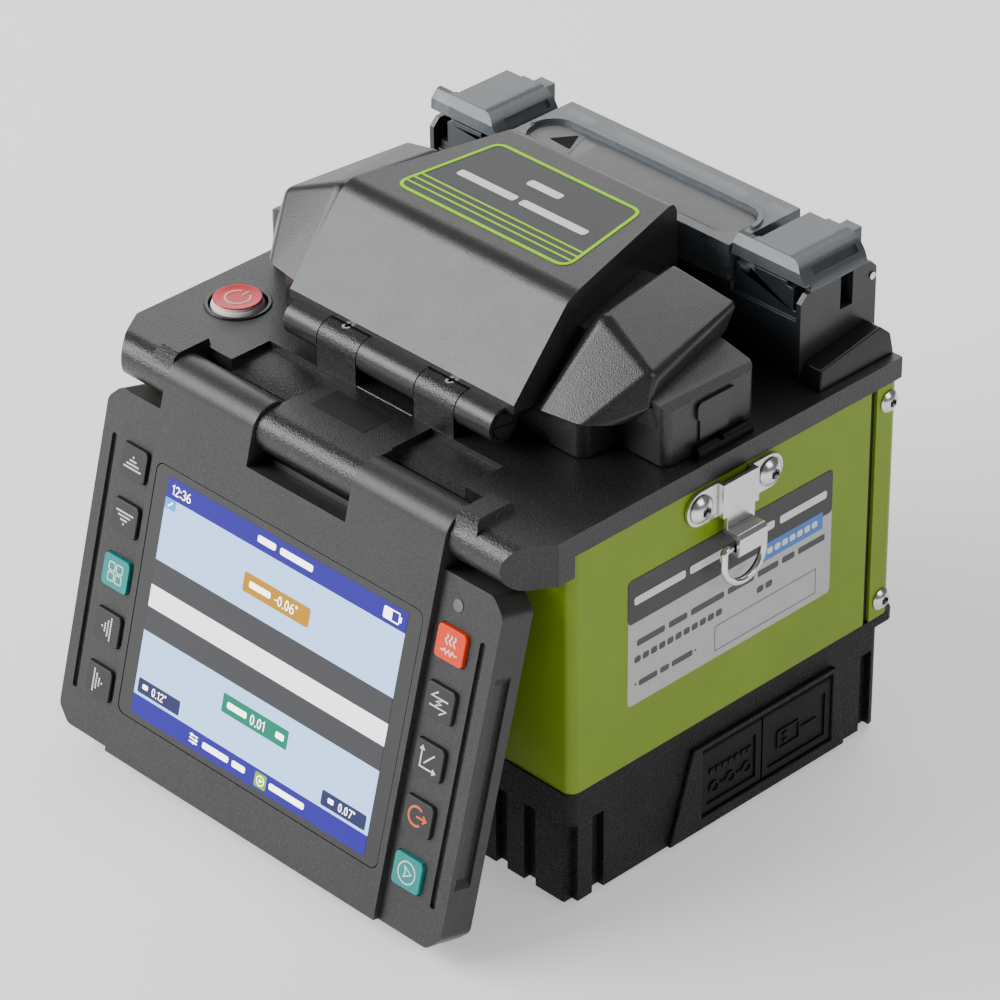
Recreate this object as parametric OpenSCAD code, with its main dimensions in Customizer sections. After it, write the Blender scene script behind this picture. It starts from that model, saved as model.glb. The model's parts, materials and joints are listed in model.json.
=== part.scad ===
// Fiber fusion splicer: a bench and field tool that welds two optical fibers with an arc.
// +X is the operator's right, -Y faces the operator (display side), +Z is up.
// The origin is under the middle of the deck, on the plane that the feet stand on.

/* [Body] */
// Width of the deck and shells, left to right
body_w = 152; // [150:0.5:156]
// Depth from the front of the green shell to its back
shell_d = 116.8; // [114:0.2:120]
// Height of the deck's top surface above the table
deck_z = 110; // [108:0.5:114]
// Wall thickness of the green shells
shell_t = 2.5; // [2:0.25:3.5]
// Height where the rubber boot ends and the green shell begins
boot_z = 34.2; // [30:0.2:38]
// Thickness of the deck plate
deck_t = 6; // [5:0.5:6]
// Height of the rubber feet
foot_h = 1.2; // [1:0.1:1.3]

/* [Display] */
// Width of the display housing
disp_w = 143; // [140:0.5:146]
// Distance from the hinge axis to the bottom edge of the housing
disp_h = 103; // [100:0.5:104]
// Lean of the display from the vertical, in degrees
disp_tilt = 14.8; // [10:0.2:20]
// Radius of the display's hinge sleeves
sleeve_r = 7; // [6.5:0.25:7.25]
// Pitch between neighbouring keys
key_pitch = 15.35; // [14:0.05:15.6]
// How far a key sinks when it is pressed
key_travel = 0.8; // [0.4:0.1:0.8]

/* [Wind cover] */
// Height of the wind cover's hinge axis above the deck
cover_axis_h = 7.3; // [7:0.1:8]
// Radius of the wind cover's hinge knuckles
knuckle_r = 4.7; // [4.4:0.1:4.9]
// Width of the cover's raised hood at the front
hood_w = 80; // [78:0.5:80]
// Wall thickness of the wind cover
cover_t = 2.5; // [2:0.25:3]

/* [Splice stage] */
// Height of the fiber's axis above the deck
fiber_h = 3.2; // [3:0.1:4]
// Distance between the two electrode tips
arc_gap = 2; // [1.5:0.25:3]

/* [Heater] */
// Outer width of the heater across its brackets
heater_w = 132; // [130:0.5:134]
// Height of the heater bracket above the deck
bracket_h = 24.2; // [23:0.2:25]

/* [Hanger] */
// Distance between the two screws of a strap hanger
hanger_pitch = 24.4; // [24:0.1:25]
// Radius of the D-ring wire
ring_wire_r = 1; // [0.8:0.1:1.1]

/* [Hidden] */

eps = 0.01;
round_fn = 64;
hull_fn = 32;
wide = 400;

half_w = body_w / 2;
skirt_z = deck_z - deck_t;
front_y = -56.8;
back_y = front_y + shell_d;
deck_front_y = -60.7;
deck_back_y = 60.7;
edge_r = 3;

// Display hinge: the nose along the deck's front edge
nose_r = 6;
disp_axis_y = -67;
disp_axis_z = deck_z - nose_r;
sleeve_in = 17.9;
sleeve_out = 50.6;
sleeve_gap = 0.3;
cut_back_y = -58.8;
disp_pin_r = 2;
pin_fit = 0.05;

// Display layers, counted backwards from the hinge axis along the panel's normal
face_y = -7;
rail_y = -5.2;
glass_back_y = -5.8;
lcd_front_y = -4.6;
shell_seam_y = 0.5;
disp_back_y = 5.5;
disp_top = 8.1;
window_w = 97.2;
window_top = 20.2;
window_bottom = 90.5;
key_x = 57.8;
key_first = 25.1;
key_w = 9.6;
key_h = 8.8;
key_front_y = -6.3;
key_fit = 0.25;

// Wind cover hinge
cover_axis_y = -41;
cover_axis_z = deck_z + cover_axis_h;
knuckle_in = 10.5;
knuckle_mid = 24.5;
knuckle_out = 37;
knuckle_gap = 0.3;
cover_pin_r = 1.6;
pin_head_r = 3.4;
hood_half = hood_w / 2;

// Splice line and heater line
fiber_y = -2.5;
fiber_z = deck_z + fiber_h;
heat_y = 50;
rod_y = 59.3;
rod_z = deck_z + 20;
rod_r = 1;
lid_half = 40.5;
bracket_x = heater_w / 2;
bracket_t = 1.5;

// Strap hanger
hanger_y = -1.1;
hanger_z = deck_z - 11.2;
lobe_r = 4.8;
hanger_t = 1.2;
hanger_bar_x = half_w + 5;
hanger_bar_z = hanger_z - 12.6;

// ---------------------------------------------------------------- helpers

// A box given by its lower and upper corners
module span(lo, hi) {
    translate(lo)
        cube([hi[0] - lo[0], hi[1] - lo[1], hi[2] - lo[2]]);
}

// The same solid on the left and on the right
module both_sides() {
    children();
    mirror([1, 0, 0])
        children();
}

// A rectangle between two corners with rounded corners
module round_rect(lo, hi, r) {
    difference() {
        translate(lo)
            square([hi[0] - lo[0], hi[1] - lo[1]]);
        for (sx = [0, 1], sy = [0, 1])
            translate([sx ? hi[0] : lo[0], sy ? hi[1] : lo[1]])
                mirror([sx, 0])
                    mirror([0, sy])
                        corner_cut(r);
    }
}

// What a round corner of radius r takes away from a square one at the origin
module corner_cut(r) {
    difference() {
        translate([-eps, -eps])
            square(r + eps);
        translate([r, r])
            circle(r, $fn = round_fn);
    }
}

// What rounding the corner p of an outline takes away; a and b are its neighbours
module corner_slice(a, p, b, r) {
    u = (a - p) / norm(a - p);
    v = (b - p) / norm(b - p);
    half = acos(u * v) / 2;
    mid = (u + v) / norm(u + v);
    reach = r / tan(half);
    centre = p + mid * r / sin(half);
    lift_u = (p + u * reach - centre) / r * eps;
    lift_v = (p + v * reach - centre) / r * eps;
    difference() {
        polygon([centre, p + u * reach, p + u * reach + lift_u, p - mid * eps / sin(half),
            p + v * reach + lift_v, p + v * reach]);
        translate(centre)
            circle(r, $fn = round_fn);
    }
}

// A polygon with every corner rounded by r
module soft_polygon(points, r) {
    n = len(points);
    difference() {
        polygon(points);
        if (r > 0)
            for (i = [0:n - 1])
                corner_slice(points[(i + n - 1) % n], points[i], points[(i + 1) % n], r);
    }
}

// A rectangular prism with rounded vertical edges
module round_box(lo, hi, r) {
    translate([0, 0, lo[2]])
        linear_extrude(hi[2] - lo[2])
            round_rect([lo[0], lo[1]], [hi[0], hi[1]], r);
}

// A cylinder along X between two positions
module rod_x(x0, x1, y, z, r) {
    translate([x0, y, z])
        rotate([0, 90, 0])
            cylinder(h = x1 - x0, r = r, $fn = round_fn);
}

// A cylinder along Y between two positions
module rod_y(y0, y1, x, z, r) {
    translate([x, y0, z])
        rotate([-90, 0, 0])
            cylinder(h = y1 - y0, r = r, $fn = round_fn);
}

// A cylinder along Z between two positions
module rod_z(z0, z1, x, y, r) {
    translate([x, y, z0])
        cylinder(h = z1 - z0, r = r, $fn = round_fn);
}

// An outline in the YZ plane, extruded from x0 to x1
module yz_prism(x0, x1, points) {
    translate([x0, 0, 0])
        rotate([90, 0, 90])
            linear_extrude(x1 - x0)
                polygon(points);
}

// An outline in the XZ plane, extruded from y0 to y1
module xz_prism(y0, y1, points) {
    translate([0, y1, 0])
        rotate([90, 0, 0])
            linear_extrude(y1 - y0)
                polygon(points);
}

// Puts the display's own frame in place: z runs up the panel, y runs into it
module in_display() {
    translate([0, disp_axis_y, disp_axis_z])
        rotate([-disp_tilt, 0, 0])
            children();
}

// A button-head screw along +X with a hex socket, its head seated on the plane x
module button_screw_x(x, y, z, head_r, length) {
    head_h = head_r * 0.58;
    socket_r = head_r * 0.42;
    translate([x, y, z])
        rotate([0, 90, 0])
            difference() {
                union() {
                    intersection() {
                        cylinder(h = head_h, r = head_r, $fn = round_fn);
                        translate([0, 0, -head_r * 0.75])
                            sphere(head_r * 1.33, $fn = round_fn);
                    }
                    translate([0, 0, -length])
                        cylinder(h = length, r = head_r * 0.5, $fn = round_fn);
                }
                translate([0, 0, head_h * 0.35])
                    cylinder(h = head_h, r = socket_r, $fn = 6);
            }
}

// ---------------------------------------------------------------- lower body

boot_wall = 3;
boot_floor = 3;
groove_t = 2;
boot_back_y = 56.3;
flange_z = 31.2;
flange_y = 62;
tripod_r = 3.175;
tripod_l = 10;
insert_r = 6;
port_lo_y = -22.5;
port_hi_y = 38;
port_top_z = 27;

// Black rubber boot: the lower tub of the case, with ribs at its corners
module base_boot() {
    color([0.13, 0.13, 0.14])
        difference() {
            union() {
                round_box([-half_w, front_y - 0.4, foot_h], [half_w, boot_back_y, boot_z], edge_r);
                round_box([-half_w, front_y + 20, flange_z], [half_w, flange_y, boot_z], edge_r);
            }
            round_box([-half_w + boot_wall, front_y + boot_wall, foot_h + boot_floor],
                [half_w - boot_wall, boot_back_y - boot_wall, boot_z + 1], edge_r);
            both_sides() {
                for (y = [-49.3, 49.2])
                    span([half_w - groove_t, y, -1], [half_w + 1, y + 4, 24.5]);
                span([half_w - groove_t, -57.8, -1], [half_w + 1, -54.4, 24.5]);
                for (x = [50, 60])
                    span([x, front_y - 2, -1], [x + 4, front_y - 0.4 + groove_t, 24.5]);
            }
            span([half_w - boot_wall - 1, -11, 3.5 + foot_h], [half_w + 1, 37.5, 25.5]);
            rod_z(0, foot_h + boot_floor + 1, 0, 0, insert_r);
        }
}

// Four self-adhesive feet
module feet() {
    color([0.08, 0.08, 0.08])
        both_sides()
            for (y = [-46, 44])
                rod_z(0, foot_h, half_w - 16, y, 7);
}

// Brass tripod socket with a 1/4 inch thread's minor bore
module tripod_insert() {
    color([0.72, 0.6, 0.32])
        difference() {
            rod_z(foot_h, foot_h + tripod_l, 0, 0, insert_r);
            rod_z(foot_h - 1, foot_h + tripod_l - 1.5, 0, 0, tripod_r);
        }
}

// Lithium battery pack lying in the boot
module battery_pack() {
    color([0.12, 0.22, 0.4])
        difference() {
            round_box([-60, -48, foot_h + boot_floor], [44, 46, 30], 4);
            rod_z(0, 31, 0, 0, insert_r + 1.5);
        }
}

// Rubber frame around the sockets on the right side, wider at its foot
module port_frame() {
    color([0.15, 0.15, 0.16])
        difference() {
            yz_prism(half_w, half_w + 1.2, [[port_lo_y, foot_h], [port_hi_y + 4.5, foot_h],
                [port_hi_y + 0.5, port_top_z], [port_lo_y + 8.3, port_top_z]]);
            span([half_w - 1, -11, foot_h + 3.5], [half_w + 2, 37.5, 25.5]);
        }
}

// A rubber flap over the sockets, hinged along its upper edge
module port_flap(y0, y1) {
    color([0.1, 0.1, 0.11])
        difference() {
            union() {
                span([half_w - 1.4, y0, 5.4], [half_w + 0.6, y1, 23.6]);
                rod_y(y0, y1, half_w - 0.4, 23.6, 1);
            }
            span([half_w + 0.1, y0 + 2, 7.4], [half_w + 1, y1 - 2, 20.6]);
        }
}

module port_flap_power() {
    port_flap(-10.7, 11.2);
}

module port_flap_data() {
    port_flap(11.8, 37.2);
}

// ---------------------------------------------------------------- shells and frame

seam_lo_y = 49.5;
seam_hi_y = 51.7;

// A tube of the case's plan outline, from z0 to z1, cut to the given Y range
module case_ring(z0, z1, y0, y1) {
    intersection() {
        difference() {
            round_box([-half_w, front_y, z0], [half_w, back_y, z1], edge_r);
            round_box([-half_w + shell_t, front_y + shell_t, z0 - 1],
                [half_w - shell_t, back_y - shell_t, z1 + 1], edge_r - 1);
        }
        span([-wide, y0, z0 - 1], [wide, y1, z1 + 1]);
    }
}

// Holes of the screws that hold the rear shell and the strap hangers
module shell_holes() {
    both_sides() {
        for (z = [39.4, skirt_z - 5])
            rod_x(half_w - 5, half_w + 1, 56.1, z, 2.2);
        for (s = [-1, 1])
            rod_x(half_w - 5, half_w + 1, hanger_y + s * hanger_pitch / 2, hanger_z, 2.2);
    }
}

// Green front shell that wraps the front and both sides
module green_shell() {
    color([0.49, 0.6, 0.2])
        difference() {
            case_ring(boot_z, skirt_z, front_y - 1, seam_lo_y);
            span([-wide, front_y - 1, deck_z - 2 * nose_r], [wide, -55.5, skirt_z + 1]);
            shell_holes();
        }
}

// Green rear shell, with the heater side of the case behind it
module rear_shell() {
    color([0.49, 0.6, 0.2])
        difference() {
            case_ring(boot_z, skirt_z, seam_hi_y, back_y + 1);
            shell_holes();
            for (x = [-24:6:24])
                span([x - 1, back_y - shell_t - 1, 50], [x + 1, back_y + 1, 74]);
        }
}

// Cast frame that carries the shells, the deck and the boards
module chassis_frame() {
    inner_x = half_w - shell_t;
    color([0.2, 0.2, 0.22])
        difference() {
            union() {
                both_sides() {
                    span([inner_x - 2, -48, boot_z], [inner_x, 56, skirt_z]);
                    span([inner_x, seam_lo_y, boot_z], [half_w - 1, seam_hi_y, skirt_z]);
                }
                span([-inner_x, -50, boot_z], [inner_x, -48, skirt_z - 8]);
                span([-inner_x + 2, -48, boot_z], [inner_x - 2, 56, boot_z + 2]);
                span([-inner_x + 2, -30, 80], [inner_x - 2, 28, 82.5]);
            }
            both_sides()
                for (s = [-1, 1])
                    rod_x(inner_x - 3, inner_x + 1, hanger_y + s * hanger_pitch / 2, hanger_z, 2.2);
            both_sides()
                for (z = [39.4, skirt_z - 5])
                    rod_x(inner_x - 3, inner_x + 1, 56.1, z, 2.2);
            for (x = [-50, 0, 50])
                rod_z(boot_z - 1, boot_z + 3, x, 30, 8);
            for (s = [-1, 1])
                rod_z(79, 83, 0, fiber_y + s * 13, 5.2);
        }
}

// Main board with its chips, and the small socket board behind the flaps
module circuit_boards() {
    board_z = 50;
    socket_x = half_w - boot_wall - 12;
    color([0.05, 0.3, 0.16]) {
        span([-62, -42, board_z], [62, 40, board_z + 1.6]);
        span([-34, -30, board_z + 1.6], [-12, -10, board_z + 4]);
        span([24, -30, board_z + 1.6], [50, -10, board_z + 6]);
        rod_z(board_z + 1.6, board_z + 16, -45, 20, 6);
        rod_z(board_z + 1.6, board_z + 16, -30, 20, 6);
        span([socket_x - 4, -10, 7], [socket_x - 2, 36, 24]);
        for (y = [-6, 14, 26])
            difference() {
                span([socket_x - 2, y, 9], [half_w - boot_wall - 0.5, y + 8, 17]);
                span([socket_x + 2, y + 1.5, 10.5], [half_w, y + 6.5, 15.5]);
            }
        for (x = [-52, 52], y = [-34, 32])
            rod_z(boot_z + 2, board_z, x, y, 2.5);
    }
}

// High-voltage transformer of the arc
module arc_transformer() {
    color([0.5, 0.42, 0.2])
        union() {
            round_box([-18, 18, 51.6], [18, 38, 74], 2);
            rod_z(74, 77, -8, 28, 3);
            rod_z(74, 77, 8, 28, 3);
        }
}

// Screws of the rear shell, one pair on each side
module shell_screws() {
    color([0.8, 0.8, 0.8])
        both_sides()
            for (z = [39.4, skirt_z - 5])
                button_screw_x(half_w, 56.1, z, 3.1, 4.4);
}

// ---------------------------------------------------------------- strap hangers

tab_half = 4.9;
ring_y = hanger_y - 0.8;
bridge_half = 6.3;
bridge_x = half_w + 2;
tab_x = half_w + 6.4;

// Outline of the hanger plate seen from the side: two lobes and a bar between them
module lobe_plate() {
    translate([half_w, 0, 0])
        rotate([90, 0, 90])
            linear_extrude(hanger_t)
                difference() {
                    translate([hanger_y, hanger_z])
                        hull()
                            for (s = [-1, 1])
                                translate([s * hanger_pitch / 2, 0])
                                    circle(lobe_r, $fn = hull_fn);
                    for (s = [-1, 1])
                        translate([hanger_y + s * hanger_pitch / 2, hanger_z])
                            circle(2.1, $fn = round_fn);
                    translate([hanger_y - bridge_half, hanger_z - lobe_r - 1])
                        square([2 * bridge_half, 2 * lobe_r + 2]);
                }
}

// Stamped steel hangers: two screw lobes, a raised bridge and a hook for the ring
module hanger_brackets() {
    y0 = hanger_y - bridge_half;
    y1 = hanger_y + bridge_half;
    bend_z = hanger_bar_z + 4;
    lip_z = hanger_bar_z - 2.3;
    color([0.8, 0.8, 0.82])
        both_sides() {
            lobe_plate();
            for (y = [y0, y1 - hanger_t])
                span([half_w, y, hanger_z - lobe_r], [bridge_x, y + hanger_t, hanger_z + lobe_r]);
            span([bridge_x, y0, hanger_z - lobe_r], [bridge_x + hanger_t, y1, hanger_z + lobe_r]);
            span([bridge_x, hanger_y - tab_half, bend_z],
                [bridge_x + hanger_t, hanger_y + tab_half, hanger_z - lobe_r]);
            yz_mirror_hook(bend_z, lip_z);
        }
}

// The hook under the bridge: out, down past the ring and back under it
module yz_mirror_hook(bend_z, lip_z) {
    xz_prism(hanger_y - tab_half, hanger_y + tab_half, [[bridge_x, bend_z - hanger_t],
        [tab_x - 1, bend_z - hanger_t], [tab_x, bend_z - hanger_t - 1], [tab_x, lip_z + hanger_t],
        [half_w + 3.6, lip_z + hanger_t], [half_w + 3.6, lip_z], [tab_x + 0.6, lip_z],
        [tab_x + hanger_t, lip_z + 0.6], [tab_x + hanger_t, bend_z - 1], [tab_x + 0.2, bend_z],
        [bridge_x, bend_z]]);
}

// Button-head screws of both hangers
module hanger_screws() {
    color([0.82, 0.82, 0.84])
        both_sides()
            for (s = [-1, 1])
                button_screw_x(half_w + hanger_t, hanger_y + s * hanger_pitch / 2, hanger_z, 3.8, 5);
}

// Wire ring: a straight bar, two round corners and a half circle below
module d_ring(side) {
    ring_half = 7;
    corner = 1.25;
    drop = 4.3;
    color([0.85, 0.85, 0.87])
        translate([side * hanger_bar_x, ring_y, hanger_bar_z]) {
            rod_y(-ring_half + corner, ring_half - corner, 0, 0, ring_wire_r);
            for (s = [-1, 1]) {
                translate([0, s * (ring_half - corner), -corner])
                    rotate([0, 90, 0])
                        rotate([0, 0, s > 0 ? 90 : 180])
                            rotate_extrude(angle = 90, $fn = round_fn)
                                translate([corner, 0])
                                    circle(ring_wire_r, $fn = round_fn);
                rod_z(-drop, -corner, 0, s * ring_half, ring_wire_r);
            }
            translate([0, 0, -drop])
                rotate([0, 90, 0])
                    rotate([0, 0, -90])
                        rotate_extrude(angle = 180, $fn = round_fn)
                            translate([ring_half, 0])
                                circle(ring_wire_r, $fn = round_fn);
        }
}

module d_ring_right() {
    d_ring(1);
}

module d_ring_left() {
    d_ring(-1);
}

// ---------------------------------------------------------------- deck

power_x = -61.6;
power_y = -39.1;
power_well_r = 8.8;
cap_r = 7.4;
chamber_half_x = 33;
chamber_half_y = 20;

// Places where the display's sleeves turn inside the nose
module sleeve_bays() {
    both_sides()
        span([sleeve_in - sleeve_gap, -90, skirt_z - 20], [sleeve_out + sleeve_gap, cut_back_y, deck_z + 5]);
}

// Sloping troughs in the deck behind the sleeves
module deck_troughs() {
    both_sides()
        yz_prism(17, 42, [[-46, deck_z + 1], [-46, deck_z - 1.6], [-54, deck_z - 1.8],
            [-59.5, deck_z - 3.6], [-59.5, deck_z + 1]]);
}

// Two hinge stands of the wind cover, with flat front skirts
module cover_stands() {
    both_sides()
        difference() {
            union() {
                rod_x(knuckle_in, knuckle_mid, cover_axis_y, cover_axis_z, knuckle_r);
                span([knuckle_in, cover_axis_y - knuckle_r, deck_z - 2],
                    [knuckle_mid, cover_axis_y + knuckle_r - 0.4, cover_axis_z]);
            }
            rod_x(knuckle_in - 1, knuckle_mid + 1, cover_axis_y, cover_axis_z, cover_pin_r);
            rod_z(cover_axis_z, cover_axis_z + 6, 18.5, cover_axis_y, 1.2);
        }
}

// Small stops on the nose beside the sleeves
module nose_lugs() {
    both_sides()
        intersection() {
            yz_prism(50.9, 58.4, [[-57.5, deck_z - 1], [-58.4, deck_z + 2.2], [-68.3, deck_z + 2.2],
                [-69.9, deck_z + 1.3], [-71.2, deck_z - 1.9], [-69, deck_z - 3.2]]);
            xz_prism(-80, -50, [[50.9, 100], [59, 100], [58.4, deck_z], [57.2, deck_z + 2.3],
                [50.9, deck_z + 2.3]]);
        }
}

// Die-cast deck: top plate, round nose with the display hinge, stands of the wind cover
module deck() {
    chamfer_in = 6.9;
    nose_front_y = disp_axis_y - nose_r;
    color([0.2, 0.2, 0.21])
        difference() {
            union() {
                difference() {
                    union() {
                        span([-half_w, disp_axis_y, skirt_z], [half_w, deck_back_y, deck_z]);
                        span([-half_w, disp_axis_y, deck_z - 2 * nose_r], [half_w, -55.5, skirt_z]);
                        rod_x(-half_w, half_w, disp_axis_y, disp_axis_z, nose_r);
                    }
                    both_sides()
                        translate([0, 0, skirt_z - 20])
                            linear_extrude(40)
                                polygon([[half_w + 1, -59.3], [half_w - chamfer_in - 1, nose_front_y - 0.3],
                                    [half_w - chamfer_in - 1, -90], [half_w + 1, -90]]);
                }
                nose_lugs();
            }
            sleeve_bays();
            deck_troughs();
            rod_x(-56, 56, disp_axis_y, disp_axis_z, disp_pin_r);
            rod_z(skirt_z - 20, deck_z + 1, power_x, power_y, power_well_r);
            round_box([-chamber_half_x, -chamber_half_y, skirt_z - 1],
                [chamber_half_x, chamber_half_y, deck_z + 1], 3);
        }
    color([0.2, 0.2, 0.21])
        cover_stands();
}

// Dark ring pressed into the deck around the power button
module power_ring() {
    color([0.08, 0.08, 0.09])
        difference() {
            rod_z(skirt_z, deck_z + 0.4, power_x, power_y, power_well_r);
            rod_z(skirt_z - 1, deck_z + 1, power_x, power_y, cap_r + 0.3);
        }
}

// Round power button with a low dome
module power_cap() {
    face_r = cap_r - 0.7;
    color([0.9, 0.9, 0.88])
        translate([power_x, power_y, 0]) {
            rod_z(skirt_z, deck_z - 1, 0, 0, cap_r);
            translate([0, 0, deck_z - 1])
                cylinder(h = 1.8, r1 = cap_r, r2 = face_r, $fn = round_fn);
            rod_z(deck_z + 0.8, deck_z + 1.6, 0, 0, face_r - 0.2);
        }
}

// Steel pins on which the display turns, one in each sleeve
module display_hinge_pins() {
    color([0.7, 0.7, 0.72])
        both_sides()
            rod_x(12, 56, disp_axis_y, disp_axis_z, disp_pin_r);
}

// ---------------------------------------------------------------- display

// Outline of the housing in the panel's own plane
module disp_outline(top, inset) {
    w = disp_w / 2 - inset;
    lo = disp_h - inset;
    c = 4;
    soft_polygon([[-w + c, -top - inset], [w - c, -top - inset], [w, -top - inset - c], [w, -lo + c],
        [w - c, -lo], [-w + c, -lo], [-w, -lo + c], [-w, -top - inset - c]], inset > 0 ? 0 : 3);
}

// A slab of the given outline between two depths of the panel
module disp_slab(y0, y1) {
    translate([0, y1, 0])
        rotate([90, 0, 0])
            linear_extrude(y1 - y0)
                children();
}

// Height of a key's middle below the hinge axis
function key_z(i) = -(key_first + i * key_pitch);

// Long shallow finger recess in both side faces, across the seam of the two shells
module finger_recess() {
    both_sides()
        xz_prism(-3.5, 2, [[disp_w / 2 + 1, -27.2], [disp_w / 2 - 1.3, -31], [disp_w / 2 - 1.3, -83.6],
            [disp_w / 2 + 1, -87.4]]);
}

// Openings for one column of keys
module key_windows(side) {
    for (i = [0:4])
        disp_slab(-10, 0)
            translate([side * key_x, key_z(i)])
                round_rect([-key_w / 2 - key_fit, -key_h / 2 - key_fit],
                    [key_w / 2 + key_fit, key_h / 2 + key_fit], 1.4);
}

// Front shell of the display: key rails, raised middle panel and the two hinge sleeves
module display_front() {
    notch_top = 9.4;
    rib_x = 67;
    color([0.25, 0.25, 0.27])
        in_display()
            difference() {
                union() {
                    difference() {
                        union() {
                            disp_slab(rail_y, shell_seam_y)
                                disp_outline(disp_top, 0);
                            span([-sleeve_out, face_y, -disp_h], [sleeve_out, rail_y, -disp_top]);
                        }
                        disp_slab(rail_y + 2, shell_seam_y + 1)
                            disp_outline(disp_top, 2);
                        span([-sleeve_in, -8, -notch_top], [sleeve_in, 8, -disp_top + 1]);
                    }
                    both_sides() {
                        rod_x(sleeve_in, sleeve_out, 0, 0, sleeve_r);
                        span([sleeve_in, face_y, -disp_top - 1.9], [sleeve_out, face_y + 5.6, 0]);
                    }
                    span([-48.6, -5.2, -93], [48.6, -2.6, -17]);
                }
                disp_slab(face_y - 1, glass_back_y)
                    round_rect([-window_w / 2, -window_bottom], [window_w / 2, -window_top], 2.5);
                span([-45.5, -7, -89.5], [45.5, -4, -21.2]);
                span([-47.2, lcd_front_y, -91], [47.2, 1, -20]);
                key_windows(1);
                key_windows(-1);
                finger_recess();
                both_sides() {
                    rod_x(sleeve_in - 1, sleeve_out + 1, 0, 0, disp_pin_r + pin_fit);
                    disp_slab(rail_y - 1, rail_y + 1)
                        round_rect([rib_x - 0.9, -92.3], [rib_x + 0.9, -20.5], 0.8);
                }
                rod_y(-10, 0, 57.2, -14.9, 1.6);
            }
}

// Rear shell of the display
module display_rear() {
    color([0.2, 0.2, 0.21])
        in_display()
            difference() {
                disp_slab(shell_seam_y, disp_back_y)
                    disp_outline(disp_top, 0);
                disp_slab(shell_seam_y - 1, disp_back_y - 2)
                    disp_outline(disp_top, 2);
                finger_recess();
                disp_slab(disp_back_y - 0.8, disp_back_y + 1)
                    round_rect([-40, -80], [40, -30], 4);
                for (x = [-64, 64], z = [-95, -16])
                    rod_y(disp_back_y - 1.2, disp_back_y + 1, x, z, 2.6);
            }
}

// Glass over the screen
module display_window() {
    gap = 0.25;
    color([0.1, 0.1, 0.12])
        in_display()
            disp_slab(face_y + 0.1, glass_back_y)
                round_rect([-window_w / 2 + gap, -window_bottom + gap],
                    [window_w / 2 - gap, -window_top - gap], 2.4);
}

// Screen module behind the glass
module lcd_panel() {
    color([0.3, 0.4, 0.7])
        in_display()
            span([-46.9, lcd_front_y, -90.7], [46.9, lcd_front_y + 3, -20.3]);
}

// Board that carries the screen and the key contacts
module display_board() {
    color([0.05, 0.3, 0.16])
        in_display()
            span([-66, 1, -96], [66, 2.6, -14]);
}

// Rubber mats with the key contacts, one behind each column
module key_mat() {
    color([0.3, 0.3, 0.3])
        in_display()
            both_sides()
                span([52, -1.6, -93], [64, 0.4, -18]);
}

// Lens of the charge lamp above the right keys
module status_led() {
    color([0.8, 0.8, 0.8])
        in_display()
            rod_y(rail_y - 0.2, 0, 57.2, -14.9, 1.6);
}

// One key: a rounded cap with a wider foot that keeps it in its window
module key_cap(side, i) {
    foot_y = -1.6 - key_travel - 0.1;
    color([0.22, 0.22, 0.24])
        in_display()
            translate([side * key_x, 0, key_z(i)]) {
                disp_slab(key_front_y, foot_y)
                    round_rect([-key_w / 2, -key_h / 2], [key_w / 2, key_h / 2], 1.2);
                disp_slab(foot_y - 0.6, foot_y)
                    round_rect([-key_w / 2 - 0.8, -key_h / 2 - 0.8], [key_w / 2 + 0.8, key_h / 2 + 0.8], 1.2);
            }
}

module key_up() {
    key_cap(-1, 0);
}

module key_down() {
    key_cap(-1, 1);
}

module key_menu() {
    key_cap(-1, 2);
}

module key_left() {
    key_cap(-1, 3);
}

module key_right() {
    key_cap(-1, 4);
}

module key_heat() {
    key_cap(1, 0);
}

module key_arc() {
    key_cap(1, 1);
}

module key_axis() {
    key_cap(1, 2);
}

module key_exit() {
    key_cap(1, 3);
}

module key_play() {
    key_cap(1, 4);
}

// ---------------------------------------------------------------- wind cover

cover_foot_z = deck_z + 0.4;
face_lo_y = -40.3;
face_lo_z = deck_z + 13.7;
apex_y = -20.5;
apex_z = deck_z + 36.7;
apex_r = 8;
hood_back_y = 29.2;
hood_back_z = deck_z + 38.2;
hood_back_half = 27;
hood_back_r = 4;
hood_end_y = hood_back_y + 1.2;
hood_corner_r = 10;
wing_front_y = -31;
wing_x = 54.2;
wing_in = hood_half + 3;
wing_back_y = 13.8;
wing_low_z = deck_z + 11.8;
side_x = 71;
side_front_y = -19.6;
side_back_y = 12.1;
side_top_z = deck_z + 17;

// Hood of the wind cover, shrunk by t on every side for its hollow
module hood_body(t) {
    foot = cover_foot_z - (t > 0 ? 1 : 0);
    back = [hood_back_y - t, hood_back_z - t];
    apex = [apex_y + t, apex_z - t];
    low = [face_lo_y + 1.6 * t, face_lo_z - 0.6 * t];
    heel = [hood_back_y + 1.5 - t, foot];
    intersection() {
        translate([-hood_half + t, 0, 0])
            rotate([90, 0, 90])
                linear_extrude(2 * (hood_half - t))
                    difference() {
                        polygon([low, apex, back, heel, [wing_front_y + t, foot],
                            [wing_front_y + t, face_lo_z - 3], [face_lo_y + 1.6 * t, face_lo_z - 2.4]]);
                        corner_slice(low, apex, back, apex_r - t);
                        corner_slice(apex, back, heel, hood_back_r - t);
                    }
        translate([0, 0, deck_z - 5])
            linear_extrude(60)
                polygon([[-hood_half + t, -60], [hood_half - t, -60], [hood_half - t, -19],
                    [hood_back_half - t, hood_end_y], [-hood_back_half + t, hood_end_y],
                    [-hood_half + t, -19]]);
        round_box([-hood_half - 0.1, -60, deck_z - 10], [hood_half + 0.1, hood_end_y - 0.1, deck_z + 50],
            t > 0 ? 1 : hood_corner_r);
    }
}

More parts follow.
